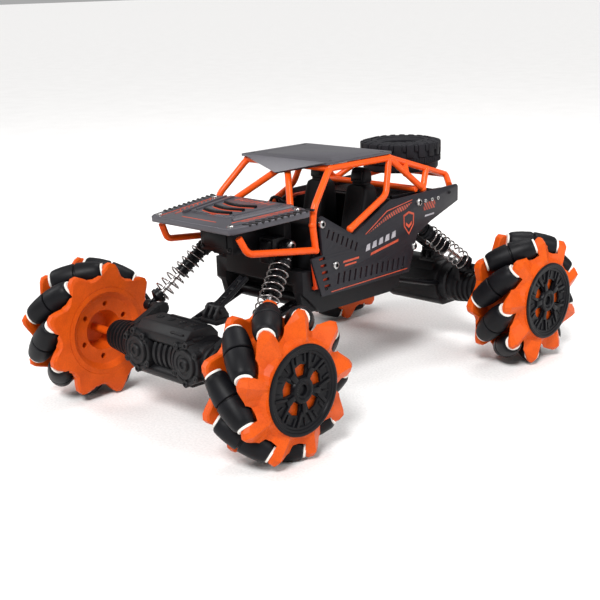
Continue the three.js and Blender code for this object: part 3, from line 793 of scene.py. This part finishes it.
def channel_arm(axle):
    """The lower swing arm as a moulded channel, its web between two flanges, from the gearbox to the chassis pin."""
    root, knee, tip = axle.point(20, 6, 47.2), axle.point(24, 26, 50.2), mm(27, axle.sign * 41, 65.6)
    rails = [tube("rail", [p + mm(side, 0, 0) for p in (root, knee, tip)], 1.6, 8) for side in (-2.9, 2.9)]
    lean = math.degrees(math.atan2(tip.z - knee.z, (tip.y - knee.y) * -axle.sign))
    rungs = [block("rung", knee.lerp(tip, 0.03 + 0.155 * k) / MM, (6.2, 3.4, 3.8), 0.6,
            (-axle.sign * lean, 0, 0)) for k in range(7)]
    web = block("web", root.lerp(knee, 0.55) / MM, (6.6, 22, 2.6), 0.7, (-axle.sign * 8.5, 0, 0))
    return joined("arm", rails + rungs + [web])


# ---- shock absorbers ----
class Shock:
    """A shock's top eye and the direction to its foot, read from the joints."""

    def __init__(self, corner):
        self.corner = corner
        self.length = SHOCK_LENGTH[corner.split("_")[0]]
        self.top = Vector(JOINTS[f"shock_{corner}_swing"]["pos_m"])
        self.down = Vector(JOINTS[f"shock_{corner}_stroke"]["axis"]).normalized()
        if self.down.z > 0:
            self.down.negate()

    def at(self, share):
        return self.top + self.down * self.length * share * MM


class STUNTCAR_OT_shocks(bpy.types.Operator):
    """Four shock absorbers: a ribbed cylinder with its threaded collar, a ground rod and a spring cup"""
    bl_idname = "stuntcar.shocks"
    bl_label = "Shock Absorbers"

    def execute(self, context):
        for shock in map(Shock, WHEELS):
            length = shock.length
            side = 1 if shock.top.x > 0 else -1
            steps = [(0.045 * length, 1.5), (0.045 * length, 3.0), (0.08 * length, 4.25)]
            along = 0.09 * length
            while along < 0.54 * length:
                steps += [(along, 4.3), (along + 0.9, 4.3), (along + 1.1, 3.75), (along + 1.7, 3.75),
                    (along + 1.9, 4.3)]
                along += 2.1
            steps += [(0.55 * length, 3.9), (0.55 * length, 1.5)]
            barrel = turned("barrel", steps, shock.top, shock.down, 28)
            eye = turned("eye", [(-3, 1.7), (-3, 3.7), (-2.6, 4.0), (2.6, 4.0), (3, 3.7), (3, 1.7)], shock.top,
                X, 28, hoop=True)
            collar = turned("collar", [(0.175 * length, 3.8), (0.175 * length, 5.0), (0.185 * length, 5.4),
                    (0.205 * length, 5.4), (0.21 * length, 5.2), (0.216 * length, 5.0), (0.221 * length, 5.4),
                    (0.24 * length, 5.4), (0.245 * length, 5.2), (0.245 * length, 3.8)], shock.top, shock.down,
                28)
            cap = turned("cap", [(0.075 * length, 3.6), (0.075 * length, 4.9), (0.11 * length, 5.2),
                    (0.12 * length, 4.9), (0.12 * length, 3.6)], shock.top, shock.down, 10)
            finish(joined(f"cylinder_{shock.corner}", [barrel, eye, collar, cap]),
                f"shock_cylinder_{shock.corner}", "satin_black_abs",
                [f"shock_cylinder_{shock.corner}"])
            rod = turned("rod", [(0.43 * length, 0.6), (0.43 * length, 1.4), (0.9 * length, 1.4),
                    (0.9 * length, 0.6)], shock.top, shock.down, 16)
            finish(rod, f"shock_rod_{shock.corner}", "zinc_plated_steel",
                [f"shock_rod_{shock.corner}"]).name = f"rod_{shock.corner}"
            cup = turned("cup", [(0.82 * length, 1.6), (0.82 * length, 4.5), (0.85 * length, 4.6),
                    (0.855 * length, 5.5), (0.89 * length, 5.5), (0.9 * length, 4.6), (0.915 * length, 2.8),
                    (0.925 * length, 1.8), (0.965 * length, 1.8), (0.965 * length, 1.2)], shock.top, shock.down,
                28)
            foot_eye = turned("foot_eye", [(-2.9, 1.6), (-2.9, 3.3), (-2.5, 3.6), (2.5, 3.6), (2.9, 3.3),
                    (2.9, 1.6)], shock.at(1), X, 28, hoop=True)
            finish(joined(f"spring_cup_{shock.corner}", [cup, foot_eye]), f"shock_rod_{shock.corner}",
                "satin_black_abs")
            bolt_at = shock.top / MM + Vector((side * 3.1, 0, 0))
            screws(f"shock_top_bolt_{shock.corner}", "chassis", [bolt_at], X * side, 3.4, 1.5)
            if shock.corner.startswith("front"):
                lock = shock.at(0.17) / MM + Vector((side * 4.4, 0, 0))
                screws(f"collar_screw_{shock.corner}", f"shock_cylinder_{shock.corner}", [lock], X * side, 1.9,
                    1.0)
        return {"FINISHED"}


class STUNTCAR_OT_springs(bpy.types.Operator):
    """Four coil springs, wound by screwing a ring of wire, laid along the shocks"""
    bl_idname = "stuntcar.springs"
    bl_label = "Coil Springs"

    def execute(self, context):
        sizes = context.scene.stunt_car_sizes
        for shock in map(Shock, WHEELS):
            free = (SPRING_SEATS[1] - SPRING_SEATS[0]) * shock.length * MM - sizes.spring_wire
            select_only()
            bpy.ops.mesh.primitive_circle_add(vertices=8, radius=sizes.spring_wire / 2, fill_type="NOTHING",
                rotation=(math.pi / 2, 0, 0), location=(sizes.spring_radius, 0, 0))
            spring = bpy.context.object
            bpy.ops.object.transform_apply(location=True, rotation=True, scale=True)
            apply_modifier(spring, "SCREW", angle=math.tau, screw_offset=free / sizes.spring_coils,
                iterations=sizes.spring_coils, steps=26, render_steps=26, use_merge_vertices=False)
            bpy.ops.object.mode_set(mode="EDIT")
            bpy.ops.mesh.select_all(action="DESELECT")
            bpy.ops.mesh.select_non_manifold()
            bpy.ops.mesh.fill_holes(sides=0)
            bpy.ops.object.mode_set(mode="OBJECT")
            face_outwards(spring)
            spring.name = f"coil_spring_{shock.corner}"
            start = shock.at(SPRING_SEATS[0]) + shock.down * sizes.spring_wire / 2
            spring.matrix_world = standing(start, shock.down)
            select_only(spring)
            bpy.ops.object.transform_apply(location=True, rotation=True, scale=True)
            bpy.ops.object.shade_smooth()
            spring.data.materials.append(material("nickel_spring_wire"))
            tuple(shock.at(0.25))
            tuple(shock.at(0.85))
            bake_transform(spring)
        return {"FINISHED"}


# ---- body and chassis ----
HOOD_FRONT = (-105, 124.6)      # where the hood's top starts, as y and z
HOOD_SLOPE = 3.8 / 61.4
CAGE = {"hood_front": (36.4, -97.6, 118), "side_bend": (38.2, -92.4, 107.4), "side_foot": (43.8, -40.4, 101.4),
    "cowl": (44.6, -43.4, 118), "cowl_top": (44.4, -41.6, 128.2), "roof_front": (38.2, -20.5, 149.8),
    "roof_rear": (38.6, 36.5, 149.6), "strut_foot": (25.4, -43.4, 127.6), "strut_top": (6, -25.5, 144.6),
    "mid_foot": (43.2, 27.6, 126.4), "mid_low": (43.8, -8.2, 109.6), "rail_end": (27, 112, 127.6),
    "tail_foot": (40.2, 99, 123), "diagonal_foot": (41.2, 68.6, 124.6), "brace_high": (35.5, 56, 143.8),
    "brace_low": (40.4, 52, 136.2), "roof_middle": (0, -21.5, 149.4), "rail_middle": (31.6, 84, 136.3),
    "rear_cross": (40.6, 62, 125.4),}


class STUNTCAR_OT_chassis(bpy.types.Operator):
    """The chassis tub, battery and inner body shell"""
    bl_idname = "stuntcar.chassis"
    bl_label = "Chassis and Battery"

    def execute(self, context):
        finish(softened("chassis_tub", 0.5), "chassis", "matt_black_abs", ["chassis_tub"])
        finish(softened("inner_body", 0.25), "chassis", "orange_body_shell", ["inner_body"])
        finish(softened("battery_pack", 2.2, 3), "chassis", "blue_shrink_wrap",
            ["battery_pack"])
        parts = [block("servo_box", (0, -68, 110.2), (31, 33.4, 17.2), 2.4), block("servo_lid",
                (0, -84.8, 110.6), (22, 1.6, 9.6), 0.6)]
        for side in (1, -1):
            parts.append(block("tower_gusset", (side * 22.4, -60, 101.6), (9, 10, 14.5), 1.2))
            for k in range(3):
                parts.append(block("pan_rib", (side * (8 + 9 * k), 0, 60.2), (2, 62, 2.6), 0.5))
        finish(joined("front_tower_details", parts), "chassis", "satin_black_abs")
        screws("tower_screws", "chassis", [(side * 12.6, -84.8, z) for side in (1, -1) for z in (105, 115)], -Y,
            1.4, 0.8, "blackened_steel")
        return {"FINISHED"}


class STUNTCAR_OT_side_panels(bpy.types.Operator):
    """Both slotted side panels, their screws and through holes"""
    bl_idname = "stuntcar.side_panels"
    bl_label = "Side Panels"

    def execute(self, context):
        for name in ("left", "right"):
            finish(softened(f"side_panel_{name}", 0.22), "chassis", "charcoal_lacquer",
                [f"side_panel_{name}"])
        for side, name in ((1, "left"), (-1, "right")):
            places = [(side * PANEL_FACE, y, z) for y, z in ((-36.5, 117.5), (-25, 89.2), (58.5, 117.2),
                    (53, 87.8))]
            screws(f"panel_screws_{name}", "chassis", places, X * side, 2.6, 1.4)
            rivets = [(side * PANEL_FACE, y, z) for y, z in ((92, 119.4), (40.6, 75.2), (-33.5, 75.4))]
            screws(f"panel_pips_{name}", "chassis", rivets, X * side, 1.2, 0.6, "blackened_steel")
            studs = [(side * PANEL_FACE, y, 117.2) for y in (65.5, 72.5, 79)]
            screws(f"panel_studs_{name}", "chassis", studs, X * side, 1.3, 0.5, dome=False)
        return {"FINISHED"}


class STUNTCAR_OT_panel_prints(bpy.types.Operator):
    """Screen-printed shapes on the side panels: a hatched wedge, stripes, plain bars and a blank shield"""
    bl_idname = "stuntcar.panel_prints"
    bl_label = "Panel Prints"

    def execute(self, context):
        film = (PANEL_FACE, PANEL_FACE + context.scene.stunt_car_sizes.print_film / MM)
        strip = lambda y, z, long, tall, rise: [(y, z), (y + long, z + long * rise),
            (y + long + 0.2, z + long * rise + tall), (y + tall * 0.35, z + tall)]
        hatched = [[(6.4, 104.2), (20, 109.0), (33.5, 112.6), (44, 114.4), (51.6, 118.6), (36, 116.6),
                (24, 113)], [(63, 110.6), (75.5, 111.2), (76.4, 116.4), (64, 115.8)]]
        shapes = [plate("hatched", outline, *film) for outline in hatched]
        finish(pair(joined("print", shapes), "hatched_wedge_prints"), "chassis", "printed_hatching")
        lines = [[(3.6, 104.4), (4.4, 104.2), (25.6, 115.9), (51.4, 119.8), (51.4, 120.3), (25.2, 116.6)],
            [(-29.4, 72.3), (45.4, 73.4), (45.4, 74.0), (-29.4, 72.9)], strip(8.4, 89.4, 28, 1.7, 0.165),
            strip(-18, 89.2, 15, 1.3, 0.03), strip(-16.6, 86.8, 11, 1.1, 0.03)]
        middle_y, middle_z = 47.6, 104.6
        shield = [(middle_y + y, middle_z + z) for y, z in ((0, 8.2), (5.6, 6.2), (5.2, -1.6), (0, -8),
                (-5.2, -1.6), (-5.6, 6.2))]
        inner = [(middle_y + (y - middle_y) * 0.82, middle_z + (z - middle_z) * 0.82) for y, z in shield]
        outline = plate("shield", shield, *film)
        carve(outline, plate("hole", inner, PANEL_FACE - 1, PANEL_FACE + 1))
        chevron = [(44.6, 103.6), (47.6, 101.2), (50.6, 103.6), (50.6, 105.6), (47.6, 103.4), (44.6, 105.6)]
        shapes = [plate("line", line, *film) for line in lines] + [outline, plate("chevron", chevron, *film)]
        finish(pair(joined("print", shapes), "stripe_prints"), "chassis", "printed_ink")
        pale = [strip(3.6 + 6.4 * k, 92.8 + 1.06 * k, 4.4, 4.2, 0.165) for k in range(5)] + [strip(64.6, 106.2,
                10, 1.2, 0.05)]
        finish(pair(joined("print", [plate("bar", line, *film) for line in pale]), "pale_bar_prints"),
            "chassis", "pale_ink")
        return {"FINISHED"}


def on_hood(x, y, lift=0):
    """A place on the sloping top of the hood, in millimetres."""
    return Vector((x, y, HOOD_FRONT[1] + (y - HOOD_FRONT[0]) * HOOD_SLOPE + lift))


def hood_bar(name, points, wide, tall, lift=0):
    """A raised bar pressed into the hood along a line of (x, y) points."""
    rings = []
    for k, (x, y) in enumerate(points):
        before, after = points[max(k - 1, 0)], points[min(k + 1, len(points) - 1)]
        along = Vector((after[0] - before[0], after[1] - before[1])).normalized()
        side = Vector((-along.y, along.x)) * wide / 2
        rings.append([on_hood(x + side.x * s, y + side.y * s, lift + h) * MM for s,
                h in ((-1, -0.8), (-1, 0.3 * tall), (-0.55, tall), (0.55, tall), (1, 0.3 * tall), (1, -0.8))])
    return loft(name, rings)


class STUNTCAR_OT_hood(bpy.types.Operator):
    """The hood plate with its curved louvres, ribs, edge notches, red stripes and corner screws"""
    bl_idname = "stuntcar.hood"
    bl_label = "Hood"

    def execute(self, context):
        finish(softened("hood_plate", 1.5, 3), "chassis", "grey_anodised_sheet", ["hood_plate"])
        louvres, parts, slivers = [], [], []
        for k in range(3):
            y = -80.5 + 9.2 * k
            arc = [(x, y - 3.2 * math.cos(x / 13 * 1.35)) for x in (-12.5 - k + (25 + 2 * k) * i / 14
                    for i in range(15))]
            louvres.append(hood_bar("louvre", arc, 2.6, 1.5, 1.3))
            slivers.append(hood_bar("sliver", [(x, y2 - 1.9) for x, y2 in arc], 1.1, 0.25, 1.3))
        for side in (1, -1):
            parts.append(hood_bar("ridge", [(side * 23, -90), (side * 31.3, -47)], 2.6, 1.5))
            parts.append(hood_bar("ridge", [(side * 17.4, -84), (side * 22.5, -48)], 1.6, 0.8, 1.3))
            parts.append(hood_bar("fold", [(side * 32.6, -100), (side * 40.4, -52)], 1.5, 0.6))
        finish(joined("hood_louvres", louvres), "chassis", "satin_black_abs")
        finish(joined("hood_pressings", parts), "chassis", "grey_anodised_sheet")
        ticks = [hood_bar("tick", [(side * (34.2 + 0.16 * (y + 101)), y), (side * (39.6 + 0.16 * (y + 101)),
                    y + 1.8)], 2.0, 0.45) for side in (1, -1) for y in (-93 + 4.6 * k for k in range(11))]
        finish(joined("hood_notches", ticks), "chassis", "blackened_steel")
        for side in (1, -1):
            slivers.append(hood_bar("edge_line", [(side * 31.2, -102), (side * 39.2, -50)], 0.7, 0.2))
            slivers.append(hood_bar("edge_line", [(side * 26.6, -94), (side * 33.6, -50)], 0.8, 0.25))
        slivers.append(hood_bar("front_line", [(-16, -97), (16, -97)], 0.8, 0.2))
        finish(joined("hood_red_lines", slivers), "chassis", "printed_ink")
        hatch = []
        for side in (1, -1):
            for k in range(9):
                y = -88 + 4.2 * k
                x = 28.2 + 0.17 * (y + 92)
                hatch.append(hood_bar("hatch", [(side * x, y), (side * (x + 3.4), y + 3.0)], 0.7, 0.18))
        for k in range(7):
            hatch.append(hood_bar("hatch", [(-15 + 5 * k, -54), (-12.6 + 5 * k, -49)], 0.8, 0.2, 1.3))
        finish(joined("hood_hatching", hatch), "chassis", "printed_ink")
        screws("hood_screws", "chassis", [tuple(on_hood(side * x, y)) for x, y in ((33.6, -101), (38.6, -50.5))
                for side in (1, -1)], Z, 2.1, 1.2)
        return {"FINISHED"}


class STUNTCAR_OT_roof(bpy.types.Operator):
    """The roof plate with a pressed panel and four screws"""
    bl_idname = "stuntcar.roof"
    bl_label = "Roof"

    def execute(self, context):
        finish(softened("roof_plate", 0.35, 3), "chassis", "grey_anodised_sheet", ["roof_plate"])
        raised = plate("roof_pressing", [(-24, -16), (24, -16), (30, -8), (30, 30), (-30, 30), (-30, -8)],
            153.2, 154.1, "Z", 0.25)
        groove = [tube("bead", [mm(side * 33.6, -14, 153.4), mm(side * 33.6, 31, 153.4)], 0.7)
            for side in (1, -1)]
        finish(joined("roof_pressings", [raised, *groove]), "chassis", "grey_anodised_sheet")
        screws("roof_screws", "chassis", [(side * x, y, ROOF_TOP) for x, y in ((36, -17), (36.4, 32))
                for side in (1, -1)], Z, 2.3, 1.0, "blackened_steel")
        return {"FINISHED"}


class STUNTCAR_OT_cage(bpy.types.Operator):
    """The bent orange roll cage, with collars where its tubes meet"""
    bl_idname = "stuntcar.cage"
    bl_label = "Roll Cage"

    def execute(self, context):
        sizes = context.scene.stunt_car_sizes
        radius = sizes.cage_tube / 2 / MM
        place = {name: mm(*point) for name, point in CAGE.items()}
        runs = [("hood_front", "side_bend", "side_foot"), ("side_foot", "cowl", "cowl_top", "roof_front",
                "roof_rear"), ("roof_rear", "mid_foot", "mid_low"), ("roof_rear", "rail_end", "tail_foot"),
            ("roof_rear", "diagonal_foot", "rail_middle"), ("brace_high", "brace_low"),
            ("roof_middle", "strut_top", "strut_foot")]
        parts = [tube("run", [place[name] for name in run], radius, sizes.cage_bend / MM) for run in runs]
        for name in ("cowl", "roof_rear", "diagonal_foot", "mid_low", "side_foot", "roof_front"):
            parts.append(knuckle(place[name], radius * 1.12))
        side = pair(joined("side", parts), "cage_sides")
        bars = [tube("bar", [place[name], Vector((-place[name].x, *place[name][1:]))], radius)
            for name in ("roof_front", "roof_rear", "rail_end", "rear_cross")]
        finish(joined("cage_tubes", [side, *bars]), "chassis", "orange_nylon_tube",
            ["roll_cage"], smooth=40)
        return {"FINISHED"}


def knuckle(place, radius):
    """The rounded boss moulded where tubes meet."""
    angles = [math.radians(a) for a in range(-75, 76, 15)]
    return turned("knuckle", [(radius * math.sin(a), radius * math.cos(a)) for a in angles], place, Z, 20)


def seat(x):
    """A bucket seat: a lofted back with shoulders, bolsters and a headrest, on a cushion with its own bolsters."""
    rings = []
    for z, front, back, half, scoop in ((80, 13, 37, 9.6, 0), (88, 14, 37.4, 10.1, 0.6),
        (94, 15, 37.4, 10.3, 2.0), (104, 17.8, 37.6, 10.4, 2.6), (114, 20.5, 37.4, 10.4, 2.6),
        (122, 22.6, 36.8, 10.3, 2.2), (127, 24, 36.2, 10, 1.4), (129.6, 24.8, 35.8, 9, 0.8),
        (130.6, 25.3, 35.4, 7.2, 0.3), (131.2, 26.6, 34.6, 6.0, 0), (132.6, 26.6, 34.6, 5.9, 0),
        (133.4, 25.6, 35.2, 6.6, 0.3), (138, 26.2, 34.8, 6.8, 0.3), (141, 27, 34.0, 6.2, 0.2),
        (142.2, 28.6, 32.6, 4.6, 0)):
        ring = []
        for k in range(40):
            a = math.tau * k / 40
            sideways, along = math.cos(a), math.sin(a)
            u = math.copysign(abs(sideways) ** 0.45, sideways)
            v = math.copysign(abs(along) ** 0.45, along)
            dip = scoop * max(0.0, 1 - (u * 1.35) ** 4) if v < 0 else 0
            ring.append(mm(x + half * u, (front + back) / 2 + (back - front) / 2 * v + dip, z))
        rings.append(ring)
    parts = [loft("seat_back", rings), block("cushion", (x, 5, 86.4), (20.4, 21, 14), 2.4)]
    for side in (1, -1):
        parts.append(block("thigh_bolster", (x + side * 8.2, 4.4, 93.6), (4.2, 19, 4.6), 1.7))
    return joined("seat", parts)


def seat_pads(x):
    """The quilted insets of a seat: pads on the back and the cushion with seams between them."""
    parts = []
    for k in range(4):
        z = 98.2 + 7.3 * k
        y = 20.2 + 0.27 * (z - 98)
        parts.append(block("back_pad", (x, y + 0.5, z), (10.6, 3.2, 6.7), 1.2, (-15, 0, 0)))
    for k in range(3):
        parts.append(block("seat_pad", (x, -0.6 + 5.4 * k, 93.2), (11, 5, 2.4), 0.9))
    parts.append(block("headrest_pad", (x, 26.5, 137.2), (9.6, 2.2, 6.2), 0.9, (-6, 0, 0)))
    return joined("pads", parts)


class STUNTCAR_OT_cabin(bpy.types.Operator):
    """The cab tub with its dashboard, ribbed rear deck, two bucket seats and steering wheel"""
    bl_idname = "stuntcar.cabin"
    bl_label = "Cabin"

    def execute(self, context):
        tub = [block("floor", (0, 0, 78.7), (80, 80, 2.6), 0.5),
               plate("dash", [(-40, 79), (-40, 115.6), (-38.4, 117.4), (-33, 119), (-29, 117.6), (-26, 112),
                   (-26, 79)],
                     -40.4, 40.4, "X", 1.2),
               plate("deck", [(38, 79), (39, 121.2), (98, 119.2), (98, 113.4), (42, 113.4), (41.6, 79)], -38.2,
                   38.2, "X", 1.0),
               block("console", (0, -2, 86), (11, 60, 14), 2.0), block("dash_hood", (-19, -30.6, 117.6),
                   (22, 9, 4.4), 1.8)]
        card = [(-40, 80), (-42, 93), (-34, 94.5), (-35, 115.6), (-8, 101.4), (28, 117.6), (56, 117.6),
            (45, 80)]
        tub.append(pair(plate("door_card", card, 40.2, 41.4), "door_cards"))
        finish(joined("cab_tub", tub), "chassis", "matt_black_abs", ["cab_interior"])
        ribs = [block("deck_rib", (0, 43.5 + 3.1 * k, 121.1 - 0.034 * 3.1 * k), (68, 1.5, 1.5), 0.35)
            for k in range(17)]
        ribs += [block("deck_rail", (side * 36, 68, 121.1), (2.2, 54, 2.4), 0.6, (-1.9, 0, 0))
            for side in (1, -1)]
        ribs += [block("dash_vent", (x, -27.4, 113.4), (7, 2.4, 2.6), 0.6, (-22, 0, 0))
            for x in (-32, -8, 8, 20, 32)]
        finish(joined("deck_ribs", ribs), "chassis", "satin_black_abs")
        finish(joined("bucket_seats", [seat(SEAT_X), seat(-SEAT_X)]), "chassis", "matt_black_abs",
            smooth=45)
        finish(joined("seat_insets", [seat_pads(SEAT_X), seat_pads(-SEAT_X)]), "chassis", "satin_black_abs",
            smooth=45)
        column = Vector((0, 20, 8)).normalized()
        centre = mm(-SEAT_X, -10.4, 117.4)
        rim = turned("rim", [(1.15 * math.cos(a), 7.9 + 1.15 * math.sin(a)) for a in (math.tau * k / 12
                    for k in range(13))], centre, column, 36, hoop=True)
        hub = turned("boss", [(-10, 1.2), (-10, 1.7), (-2.4, 1.7), (-1.4, 2.8), (0.6, 2.6), (1, 1.8), (1, 0.6)],
            centre, column, 20)
        spokes = []
        up = column.cross(X)
        for degrees in (0, 180, 270):
            a = math.radians(degrees)
            reach = X * math.cos(a) + up * math.sin(a)
            spokes.append(tube("spoke", [centre + reach * 2 * MM, centre + reach * 7.6 * MM], 0.8))
        finish(joined("steering_wheel", [rim, hub, *spokes]), "chassis", "satin_black_abs",
            smooth=50)
        return {"FINISHED"}


class STUNTCAR_OT_spare_tyre(bpy.types.Operator):
    """The spare tyre: a turned carcass, chunky shoulder lugs and fine ribs round its lower wall"""
    bl_idname = "stuntcar.spare_tyre"
    bl_label = "Spare Tyre"

    def execute(self, context):
        sizes = context.scene.stunt_car_sizes
        centre = mm(0, 94, 132)
        carcass = turned("carcass", [(0, 14), (0, 24.6), (0.8, 26.2), (2, 26.9), (5.2, 26.9), (6.6, 28.2),
                (10.4, 28.3), (11, 27.5), (18.6, 27.0), (20.4, 25.8), (21.2, 23.6), (21.2, 22.2), (20.7, 21.8),
                (20.7, 20.6), (21.1, 20.2), (21, 17.4), (20.2, 16.8), (19.8, 14.6), (18.6, 13.2), (1, 13.1),
                (0, 14)], centre, Z, 72, hoop=True)
        spin = lambda k, count: (Matrix.Translation(centre) @ Matrix.Rotation(math.tau * k / count, 4, Z))
        side_lug = block("lug", (27.0, 0, 15.6), (3.7, 5.2, 9.4), 0.7)
        top_lug = block("top_lug", (24.3, 0.4, 20.1), (7.2, 4.2, 2.2), 0.6, (0, 14, 0))
        middle_lug = block("middle_lug", (26.6, 4.6, 17.6), (3.4, 2.6, 4.6), 0.6)
        lug = joined("lug", [side_lug, top_lug, middle_lug])
        rib = loft("rib", [[mm(27.6, y, z), mm(28.75, y * 0.6, z), mm(28.75, -y * 0.6, z), mm(27.6, -y, z)]
                for y, z in ((0.5, 6.4), (0.5, 10.6))])
        parts = [carcass] + [copied(lug, "lug_copy", spin(k, sizes.tyre_lugs)) for k in range(sizes.tyre_lugs)]
        parts += [copied(rib, "rib_copy", spin(k, sizes.tyre_ribs)) for k in range(sizes.tyre_ribs)]
        discard(lug, rib)
        finish(joined("tyre", parts), "chassis", "tread_rubber", ["spare_tyre"])
        return {"FINISHED"}


# ---- stage ----
CAMERA_PLACE = (536.714, -540.682, 258.549)
CAMERA_ANGLES = (45.457, 15.063, -1.8787)      # turn about Z, rise above the horizon, and roll, in degrees
LENS = 69.0
LIGHTS = (  # name, kind, place in metres, power, and size in metres or angle in radians
    ("key_sun", "SUN", (0.62, -1.0, 1.25), 3.0, math.radians(16)),
    ("side_softbox", "AREA", (1.1, 0.35, 0.7), 5, 0.5),
    ("left_softbox", "AREA", (-0.9, -0.7, 0.9), 6, 0.5),
    ("top_softbox", "AREA", (-0.1, 0.5, 1.3), 7, 0.6),
)


class STUNTCAR_OT_stage(bpy.types.Operator):
    """A pale floor, soft studio lights and the camera"""
    bl_idname = "stuntcar.stage"
    bl_label = "Studio"

    def execute(self, context):
        scene = context.scene
        select_only()
        bpy.ops.mesh.primitive_plane_add(size=120)
        floor = bpy.context.object
        floor.name = "backdrop_floor"
        floor.data.materials.append(material("pale_backdrop_paper"))
        world = bpy.data.worlds.new("soft_room")
        world.use_nodes = True
        world.node_tree.nodes["Background"].inputs["Color"].default_value = linear("#FFFFFF")
        world.node_tree.nodes["Background"].inputs["Strength"].default_value = 0.4
        scene.world = world
        aim = lambda lamp, place: ((mm(0, 0, 60) - Vector(place)).to_track_quat("-Z", "Y").to_euler())
        for name, kind, place, power, spread in LIGHTS:
            light = bpy.data.lights.new(name, kind)
            light.energy = power
            setattr(light, "angle" if kind == "SUN" else "size", spread)
            lamp = bpy.data.objects.new(name, light)
            scene.collection.objects.link(lamp)
            lamp.location = place
            lamp.rotation_euler = aim(lamp, place)
        camera = bpy.data.objects.new("camera", bpy.data.cameras.new("camera"))
        scene.collection.objects.link(camera)
        camera.data.sensor_width, camera.data.lens, camera.data.clip_start = 36.0, LENS, 0.01
        turn, rise, roll = (math.radians(angle) for angle in CAMERA_ANGLES)
        forward = Vector((-math.sin(turn) * math.cos(rise), math.cos(turn) * math.cos(rise), -math.sin(rise)))
        right = forward.cross(Z).normalized()
        up = right.cross(forward)
        tilted = right * math.cos(roll) + up * math.sin(roll)
        above = up * math.cos(roll) - right * math.sin(roll)
        camera.matrix_world = Matrix.Translation(mm(*CAMERA_PLACE)) @ Matrix(
            (tilted, above, -forward)).transposed().to_4x4()
        scene.camera = camera
        scene.view_settings.view_transform = "Standard"
        return {"FINISHED"}


# ---- what a user may change ----
class StuntCarSizes(bpy.types.PropertyGroup):
    cage_tube: FloatProperty(name="Cage Tube", description="Outside diameter of the roll cage tube",
        default=0.0044, subtype="DISTANCE", unit="LENGTH")
    cage_bend: FloatProperty(name="Cage Bend", description="How far from a corner a cage tube starts to bend",
        default=0.004, subtype="DISTANCE", unit="LENGTH")
    spring_radius: FloatProperty(name="Spring Radius",
        description="From a shock's axis to the middle of the wire", default=0.0063, subtype="DISTANCE",
        unit="LENGTH")
    spring_wire: FloatProperty(name="Spring Wire", description="Thickness of the coil spring wire",
        default=0.0011, subtype="DISTANCE", unit="LENGTH")
    spring_coils: IntProperty(name="Spring Coils", description="Turns of wire in each spring", default=8, min=3,
        max=20)
    tyre_lugs: IntProperty(name="Tyre Lugs", description="Lugs round the spare tyre's shoulder", default=20,
        min=8, max=40)
    tyre_ribs: IntProperty(name="Tyre Ribs", description="Fine ribs round the spare tyre's lower wall",
        default=84, min=20, max=160)
    print_film: FloatProperty(name="Print Film", description="Thickness of the printed shapes", default=0.00012,
        subtype="DISTANCE", unit="LENGTH")


class StuntCarColours(bpy.types.PropertyGroup):
    wheel_orange: FloatVectorProperty(name="Wheel Orange", description="Star hubs of the wheels",
        subtype="COLOR", size=4, default=linear("#D4540E"))
    cage_orange: FloatVectorProperty(name="Cage Orange", description="Roll cage tubes", subtype="COLOR", size=4,
        default=linear("#EA5512"))
    black_plastic: FloatVectorProperty(name="Black Plastic", description="Axles and arms", subtype="COLOR",
        size=4, default=linear("#0B0B0D"))
    panel_charcoal: FloatVectorProperty(name="Panel Charcoal", description="Side panels", subtype="COLOR",
        size=4, default=linear("#1C1B20"))
    plate_grey: FloatVectorProperty(name="Plate Grey", description="Hood and roof", subtype="COLOR", size=4,
        default=linear("#3C3A40"))
    rubber: FloatVectorProperty(name="Rubber", description="Rollers", subtype="COLOR", size=4,
        default=linear("#0A0A0D"))
    print_red: FloatVectorProperty(name="Print Red", description="Printed stripes", subtype="COLOR", size=4,
        default=linear("#C24A2B"))


STEPS = (STUNTCAR_OT_stage, STUNTCAR_OT_wheel_hubs, STUNTCAR_OT_hub_caps, STUNTCAR_OT_rollers,
    STUNTCAR_OT_bushings, STUNTCAR_OT_axles, STUNTCAR_OT_shocks, STUNTCAR_OT_springs, STUNTCAR_OT_chassis,
    STUNTCAR_OT_side_panels, STUNTCAR_OT_panel_prints, STUNTCAR_OT_hood, STUNTCAR_OT_roof, STUNTCAR_OT_cage,
    STUNTCAR_OT_cabin, STUNTCAR_OT_spare_tyre)


class STUNTCAR_PT_build(bpy.types.Panel):
    """Lists the settings and the building steps"""
    bl_idname = "STUNTCAR_PT_build"
    bl_label = "Stunt Car"
    bl_space_type = "VIEW_3D"
    bl_region_type = "UI"
    bl_category = "Stunt Car"

    def draw(self, context):
        for group in (context.scene.stunt_car_sizes, context.scene.stunt_car_colours):
            for name in group.__annotations__:
                self.layout.prop(group, name)
        for step in STEPS:
            self.layout.operator(step.bl_idname)


CLASSES = (StuntCarSizes, StuntCarColours, *STEPS, STUNTCAR_PT_build)


def register():
    for made in CLASSES:
        bpy.utils.register_class(made)
    bpy.types.Scene.stunt_car_sizes = PointerProperty(type=StuntCarSizes)
    bpy.types.Scene.stunt_car_colours = PointerProperty(type=StuntCarColours)


def unregister():
    del bpy.types.Scene.stunt_car_colours
    del bpy.types.Scene.stunt_car_sizes
    for made in reversed(CLASSES):
        bpy.utils.unregister_class(made)


def main():
    register()
    for step in STEPS:
        group, action = step.bl_idname.split(".")
        getattr(getattr(bpy.ops, group), action)()
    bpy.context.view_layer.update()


if __name__ == "__main__":
    main()
